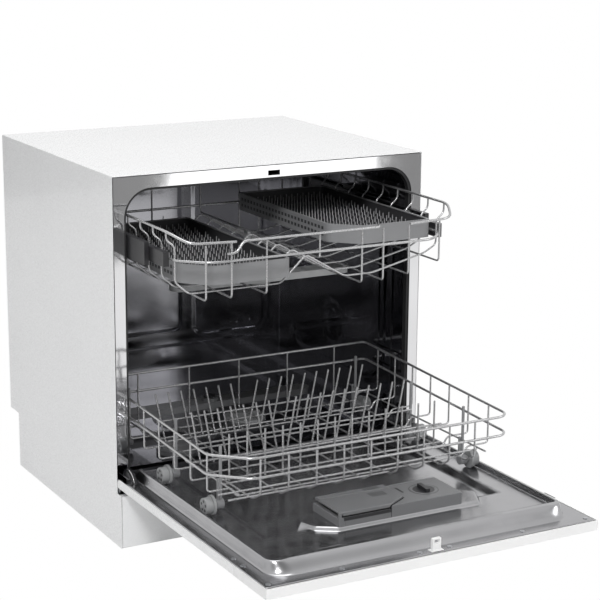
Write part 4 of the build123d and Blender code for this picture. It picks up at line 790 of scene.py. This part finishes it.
lid_parts = [
    prism(lid_edge, LID_Z - 3.6, LID_Z),
    bar(-87, -8, -375.8, -372.5, LID_Z - 6.0, LID_Z - 0.6),
    bar(-92.5, -89.6, -369, LID_REAR, LID_Z - 3.4, LID_Z - 0.2),
]
lid = piece_of("dispenser_cover", lid_parts, DARK, "dispenser_lid", 0.8)
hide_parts("dispenser_lid")
# The lid's grooves are black strips on its flat top: painted shade in the grooves.
GROOVE_SETS = (("door", -302.5, 10, -13), ("dispenser_lid", -324, 16, -16))
GROOVE_PITCH = 4.4
for body, top, length, start in GROOVE_SETS:
    grooves = []
    for column in range(6):
        x = start + GROOVE_PITCH * column
        grooves.append(bar(x, x + 1.9, top - length, top, LID_Z, LID_Z + MARK))
    piece_of("grooves_" + body, grooves, BLACK, body)
# Black lines for seams and gaps of the dispenser and for a slot in the pan's lip: painted shade in them.
marks = [
    bar(35, 38, -303, -300.2, DISP_Z, DISP_Z + MARK),
    bar(36, 39.5, -337, -315, DISP_Z, DISP_Z + MARK),
    bar(24.6, 27.4, STEP_Y, -301, DISP_Z, DISP_Z + MARK),
    bar(-86, -7, -376.2, -376.05, TROUGH_Z - 4.5, TROUGH_Z + 0.5),
    bar(246.4, 248.6, -428, -402, PAN_Z, PAN_Z + MARK),
]
piece_of("dispenser_marks", marks, BLACK, "door")
raised_ring = hoop(CAP_X, CAP_Y, 17.4, 20.6, DISP_Z - 0.4, DISP_Z + 0.5)
piece_of("cap_ring", [raised_ring], DARK, "door", 0.3)
# A black flat ring round the raised ring: painted shade in the gap beside it.
flat_ring = hoop(CAP_X, CAP_Y, 21.4, 22.4, DISP_Z, DISP_Z + MARK)
piece_of("cap_ring_line", [flat_ring], BLACK, "door")
grip_edge = [
    (CAP_X - 4.5, CAP_Y - 14), (CAP_X + 2.5, CAP_Y - 14),
    (CAP_X + 4.5, CAP_Y + 14), (CAP_X - 2.5, CAP_Y + 14),
]
cap_parts = [
    prism(round_edge(CAP_X, CAP_Y, CAP_R), DISP_Z - 0.5, DISP_Z + 0.15),
    prism(grip_edge, DISP_Z - 1, DISP_Z + 5.4),
]
cap = piece_of("rinse_knob", cap_parts, BLACK, "rinse_cap", 0.6)
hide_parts("rinse_cap")
spindle = [stem(CAP_X, CAP_Y, 118, DISP_Z - 0.6, 4.8, 4.8, 12)]
piece_of("rinse_stem", spindle, BLACK, "rinse_cap")

# Flange face, one thin bright sheet over the front of the tub

FLANGE_HALF = 273.2
FLANGE_Y = -0.25
FLANGE_FOOT = 142.0
FLANGE_TOP = 592.8
FLANGE_T = 0.2
MOUTH_R = 45.0
MOUTH_SIDE_TOP = 529.0
MOUTH_X = TUB_HALF - MOUTH_R
MOUTH_STEPS = 12
LOCK_HALF = 10.5
LOCK_LOW = 577.0
LOCK_HIGH = 585.0


def flange_sides():
    """Pairs of an inner and an outer point up the left side of the flange and round its corner."""
    pairs = [((-TUB_HALF, z), (-FLANGE_HALF, z)) for z in (FLANGE_FOOT, MOUTH_SIDE_TOP)]
    for k in range(1, MOUTH_STEPS + 1):
        turn_by = math.radians(90 * k / MOUTH_STEPS)
        near = (-MOUTH_X - MOUTH_R * math.cos(turn_by), MOUTH_SIDE_TOP + MOUTH_R * math.sin(turn_by))
        share = 2 * k / MOUTH_STEPS
        if share <= 1:
            far = (-FLANGE_HALF, MOUTH_SIDE_TOP + (FLANGE_TOP - MOUTH_SIDE_TOP) * share)
        else:
            far = (-FLANGE_HALF + (FLANGE_HALF - MOUTH_X) * (share - 1), FLANGE_TOP)
        pairs.append((near, far))
    return pairs


def flange_sheet():
    """The flange with its rounded mouth and the lock slot."""
    points = []
    faces = []
    pairs = flange_sides()
    for side in (-1, 1):
        start = len(points)
        for (ix, iz), (ox, oz) in pairs:
            points += [(-side * ix, FLANGE_Y, iz), (-side * ox, FLANGE_Y, oz)]
        for k in range(len(pairs) - 1):
            a = start + 2 * k
            loop = (a, a + 2, a + 3, a + 1)
            faces.append(loop if side < 0 else loop[::-1])
    xs = [-MOUTH_X, -120, -LOCK_HALF, LOCK_HALF, 120, MOUTH_X]
    zs = [MOUTH_SIDE_TOP + MOUTH_R, LOCK_LOW, LOCK_HIGH, FLANGE_TOP]
    start = len(points)
    points += [(x, FLANGE_Y, z) for z in zs for x in xs]
    strip = grid_faces(xs, zs, lambda x, z: not (abs(x) < LOCK_HALF and LOCK_LOW < z < LOCK_HIGH))
    faces += [tuple(start + index for index in face) for face in strip]
    piece = mesh_piece("flange_face", points, faces, FLANGE_STEEL, "cabinet", 30)
    for face in piece.data.polygons:
        face.use_smooth = False
    thicken(piece, FLANGE_T, 0)


flange_sheet()

# Pressings of the tub's back and side walls: fields as two sides, two heights and a corner radius

TUB_REAR = 455.0
OUTER_FIELD = (-238, 236, 184, 620, 46)
LEFT_PANEL = (-215, 52, 213, 620, 14)
RIGHT_PANEL = (72, 222, 200, 620, 20)
SIDE_FIELD = (70, 425, 178, 520, 70)
BOSS_Y = 247.0
BOSS_Z = 253.0
RIB_Y = (52, 92)
RIB_HALF = 3.2
FEED_Z = 418.0
FEED_CLEAR = 18.0


def inside_box(u, v, u0, u1, v0, v1, r):
    """Distance inside a rounded box."""
    du = np.abs(u - (u0 + u1) / 2) - (u1 - u0) / 2 + r
    dv = np.abs(v - (v0 + v1) / 2) - (v1 - v0) / 2 + r
    out = np.hypot(np.maximum(du, 0), np.maximum(dv, 0)) + np.minimum(np.maximum(du, dv), 0) - r
    return -out


def back_height(u, v):
    """Pressing of the back wall: one outer field and two panels."""
    rise = 0.3 + 0.8 * ease(inside_box(u, v, *OUTER_FIELD) / 7)
    rise = rise + 0.9 * ease(inside_box(u, v, *LEFT_PANEL) / 7)
    return rise + 0.9 * ease(inside_box(u, v, *RIGHT_PANEL) / 7)


def side_height(u, v):
    """Pressing of a side wall: a field with large corners, a round boss and two ribs."""
    rise = 0.3 + 1.3 * ease(inside_box(u, v, *SIDE_FIELD) / 8)
    away = np.hypot(u - BOSS_Y, v - BOSS_Z)
    rise = rise + 0.45 * ease((43 - away) / 8) - 0.3 * ease((28 - away) / 8)
    for y in RIB_Y:
        rise = rise + 1.2 * ease((RIB_HALF - np.abs(u - y)) / RIB_HALF)
    return rise


def pressing(name, us, vs, height, spot, keep, mat):
    """A pressed wall sheet on a grid."""
    gu, gv = np.meshgrid(us, vs)
    flat = [values.ravel().tolist() for values in (gu, gv, height(gu, gv))]
    points = [spot(u, v, h) for u, v, h in zip(*flat)]
    piece = mesh_piece(name, points, grid_faces(us, vs, keep), mat, "cabinet", 60)
    loose_verts(piece.data)


def back_keep(u, v):
    """Leaves out the feed pipe's inlet and the tub's upper corners."""
    corner = math.hypot(max(0, abs(u) - 205), max(0, v - 525))
    return math.hypot(u, v - FEED_Z) > FEED_CLEAR and corner < 40


back_x = lines((-250, -232, 2), (-232, 40, 12), (40, 84, 1.6), (84, 200, 9), (200, 250, 1.6))
back_z = lines((136, 178, 6), (178, 224, 1.6), (224, 566, 12))
# The back wall's pressing takes the tub steel with its painted shade.
pressing("back_pressing", back_x, back_z, back_height, lambda u, v, h: (u, TUB_REAR - h, v), back_keep,
         SHADED_TUB_STEEL)
side_y = lines((18, 110, 1.6), (110, 195, 9), (195, 300, 3), (300, 425, 8), (425, 452, 3))
side_z = lines((136, 172, 6), (172, 310, 2.5), (310, 452, 14))
# Both side pressings carry the painted shade of the darker side steel.
for name, spot in (
    ("right_pressing", lambda u, v, h: (TUB_HALF - h, u, v)),
    ("left_pressing", lambda u, v, h: (h - TUB_HALF, u, v)),
):
    pressing(name, side_y, side_z, side_height, spot, lambda u, v: True, SHADED_SIDE_STEEL)

# Wheel carriers: two flat posts and a stepped hub for each wheel

WHEEL_Y = (-232, -80, 97)
AXLE_Z = 143.8
POSTS = ((-3.5, -0.5, 232), (4.5, 7.5, 180))
HUB_STEPS = ((207, 219, 7.5), (215, 222.6, 5.0), (222, 238.5, 2.5), (238.4, 239.6, 3.4))
SPOKE_COUNT = 5
SPOKE_R = 7.0

carriers = []
for side in (-1, 1):
    x0, x1 = sorted((side * 209.5, side * 213.5))
    for y in WHEEL_Y:
        for y0, y1, top in POSTS:
            carriers.append(bar(x0, x1, y + y0, y + y1, 139, top))
        for near, far, r in HUB_STEPS:
            carriers.append(disc(side, near, far, y, AXLE_Z, r, 20))
holder = piece_of("carrier_posts", carriers, WHEEL, "lower_rack", 0.5)
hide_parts("wheel_carriers")

for side, word in ((-1, "left"), (1, "right")):
    for index, y in enumerate(WHEEL_Y):
        # Black discs stand for the holes between the spokes of each wheel: painted shade in the holes.
        windows = []
        for turn_by in (math.radians(72 * k + 18) for k in range(SPOKE_COUNT)):
            cy = y + SPOKE_R * math.cos(turn_by)
            cz = AXLE_Z + SPOKE_R * math.sin(turn_by)
            windows.append(disc(side, 237.9, 238.2, cy, cz, 2.3, 12))
        name = word + "_wheel_" + str(index + 1)
        piece_of(name + "_windows", windows, BLACK, name)

# Trim

repaint(BLACK, "left_rail", "right_rail", "hinge_levers", "roller_holders")
repaint(DARK, "lower_spray_arm")
for name in ("left_side_panel", "right_side_panel", "top_panel", "kick_plate", "door_panel", "control_panel"):
    soften(name, 0.9)
for name in ("roller_holders", "striker"):
    soften(name, 0.8)

COVER_Y = -14.0
COVER_Z = 111.0
COVER_RING_R = 25.0
arc = []
for turn_by in (math.radians(24 + 6 * k) for k in range(23)):
    arc.append((COVER_Y + COVER_RING_R * math.cos(turn_by), COVER_Z + COVER_RING_R * math.sin(turn_by)))
hinge_rings = [([Vector((x, y, z)) for y, z in arc], 1.0, False) for x in (-261.3, 261.3)]
wires("hinge_trim", hinge_rings, CHROME, "door")
RAIL_END_Y = -60.7
RAIL_LOW = 470.4
RAIL_HIGH = 503.6
for side, name in ((-1, "left"), (1, "right")):
    x0 = side * 244.8
    x1 = side * 249.8
    corners = ((x0, RAIL_LOW), (x1, RAIL_LOW), (x1, RAIL_HIGH), (x0, RAIL_HIGH))
    loop = [(x, RAIL_END_Y, z) for x, z in corners]
    wires(name + "_rail_trim", [ring(loop, 1.2, 2.5)], GREY, name + "_rail")

# Camera, lights and floor

PHOTO_PX = 600
SENSOR_MM = 36.0
FOCAL_PX = 1770.2
cam_data = bpy.data.cameras.new("camera")
cam_data.sensor_fit = "HORIZONTAL"
cam_data.sensor_width = SENSOR_MM
cam_data.lens = FOCAL_PX / PHOTO_PX * SENSOR_MM
cam_data.clip_start = 0.05
cam_data.clip_end = 60.0
cam = bpy.data.objects.new("camera", cam_data)
bpy.context.scene.collection.objects.link(cam)
CAM_POINT = (-1295.75, -2420.06, 1044.61)
AZ = math.radians(-29.05)
EL = math.radians(13.70)
ROLL = math.radians(0.44)
look = Vector((-math.sin(AZ) * math.cos(EL), math.cos(AZ) * math.cos(EL), -math.sin(EL)))
side_way = look.cross(Vector((0, 0, 1))).normalized()
up_way = side_way.cross(look)
right_way = side_way * math.cos(ROLL) + up_way * math.sin(ROLL)
top_way = -side_way * math.sin(ROLL) + up_way * math.cos(ROLL)
turn = Matrix((right_way, top_way, -look)).transposed().to_4x4()
turn.translation = Vector(place(CAM_POINT))
cam.matrix_world = turn
bpy.context.scene.camera = cam


def lamp(name, spot, aim, size, power, tall=None):
    """A soft rectangular light, square where no height is given."""
    data = bpy.data.lights.new(name, "AREA")
    data.shape = "RECTANGLE"
    data.size = size
    data.size_y = tall or size
    data.energy = power
    made = bpy.data.objects.new(name, data)
    made.location = spot
    way = Vector(aim) - Vector(spot)
    made.rotation_euler = way.to_track_quat("-Z", "Y").to_euler()
    bpy.context.scene.collection.objects.link(made)


lamp("key", (-1.6, -2.2, 2.6), (0, 0, 0.3), 0.8, 64)
lamp("fill", (2.4, -1.8, 1.6), (0, 0, 0.3), 1.2, 20)
lamp("top", (0.0, 0.3, 3.0), (0, 0, 0.3), 1.6, 22)
lamp("softbox", (1.08, -2.0, 0.62), (1.08, 0.0, 0.62), 0.694, 3.2, 1.16)


def between(tree, share, low, high):
    """A number between two others by a share; each is a socket or a plain number."""
    made = tree.nodes.new("ShaderNodeMix")
    for index, value in ((0, share), (2, low), (3, high)):
        if isinstance(value, float):
            made.inputs[index].default_value = value
        else:
            tree.links.new(value, made.inputs[index])
    return made.outputs[0]


def either_ray(tree, path, one, two):
    """One for two kinds of ray, else nought."""
    made = tree.nodes.new("ShaderNodeMath")
    made.operation = "MAXIMUM"
    tree.links.new(path.outputs[one], made.inputs[0])
    tree.links.new(path.outputs[two], made.inputs[1])
    return made.outputs[0]


def studio_world():
    """White to the camera; in reflections dimmer in front of the machine than elsewhere."""
    world = bpy.data.worlds.new("studio")
    bpy.context.scene.world = world
    world.use_nodes = True
    tree = world.node_tree
    back = tree.nodes["Background"]
    back.inputs["Color"].default_value = (1, 1, 1, 1)
    path = tree.nodes.new("ShaderNodeLightPath")
    heading = tree.nodes.new("ShaderNodeTexCoord")
    parts_of = tree.nodes.new("ShaderNodeSeparateXYZ")
    tree.links.new(heading.outputs["Generated"], parts_of.inputs[0])
    mirrored = remap(tree, parts_of.outputs["Y"], 0.36, 0.95, -0.62, -0.22)
    lit = between(tree, path.outputs["Is Glossy Ray"], 0.30, mirrored)
    seen = either_ray(tree, path, "Is Camera Ray", "Is Transmission Ray")
    tree.links.new(between(tree, seen, lit, 1.0), back.inputs["Strength"])


studio_world()


def floor_plane(name, x0, x1, y0, y1, z, mirror_level):
    """A studio floor, plain white to the camera and at a set level in reflections."""
    mat = bpy.data.materials.new(name)
    mat.use_nodes = True
    tree = mat.node_tree
    link = tree.links.new
    soft = tree.nodes["Principled BSDF"]
    soft.inputs["Base Color"].default_value = (0.92, 0.92, 0.92, 1)
    soft.inputs["Roughness"].default_value = 0.9
    path = tree.nodes.new("ShaderNodeLightPath")
    glow = tree.nodes.new("ShaderNodeEmission")
    glow.inputs["Color"].default_value = (1, 1, 1, 1)
    link(between(tree, path.outputs["Is Camera Ray"], mirror_level, 1.0), glow.inputs["Strength"])
    mixed = tree.nodes.new("ShaderNodeMixShader")
    link(either_ray(tree, path, "Is Camera Ray", "Is Glossy Ray"), mixed.inputs[0])
    link(soft.outputs[0], mixed.inputs[1])
    link(glow.outputs[0], mixed.inputs[2])
    link(mixed.outputs[0], tree.nodes["Material Output"].inputs["Surface"])
    data = bpy.data.meshes.new(name)
    data.from_pydata([(x0, y0, z), (x1, y0, z), (x1, y1, z), (x0, y1, z)], [], [(0, 1, 2, 3)])
    data.materials.append(mat)
    made = bpy.data.objects.new(name, data)
    bpy.context.scene.collection.objects.link(made)


floor_plane("floor", -8, 8, -8, 8, -0.003, 0.30)
floor_plane("near_floor", -3, 3, -1.95, 3, -0.0005, 0.95)

bpy.context.scene.view_settings.view_transform = "Standard"
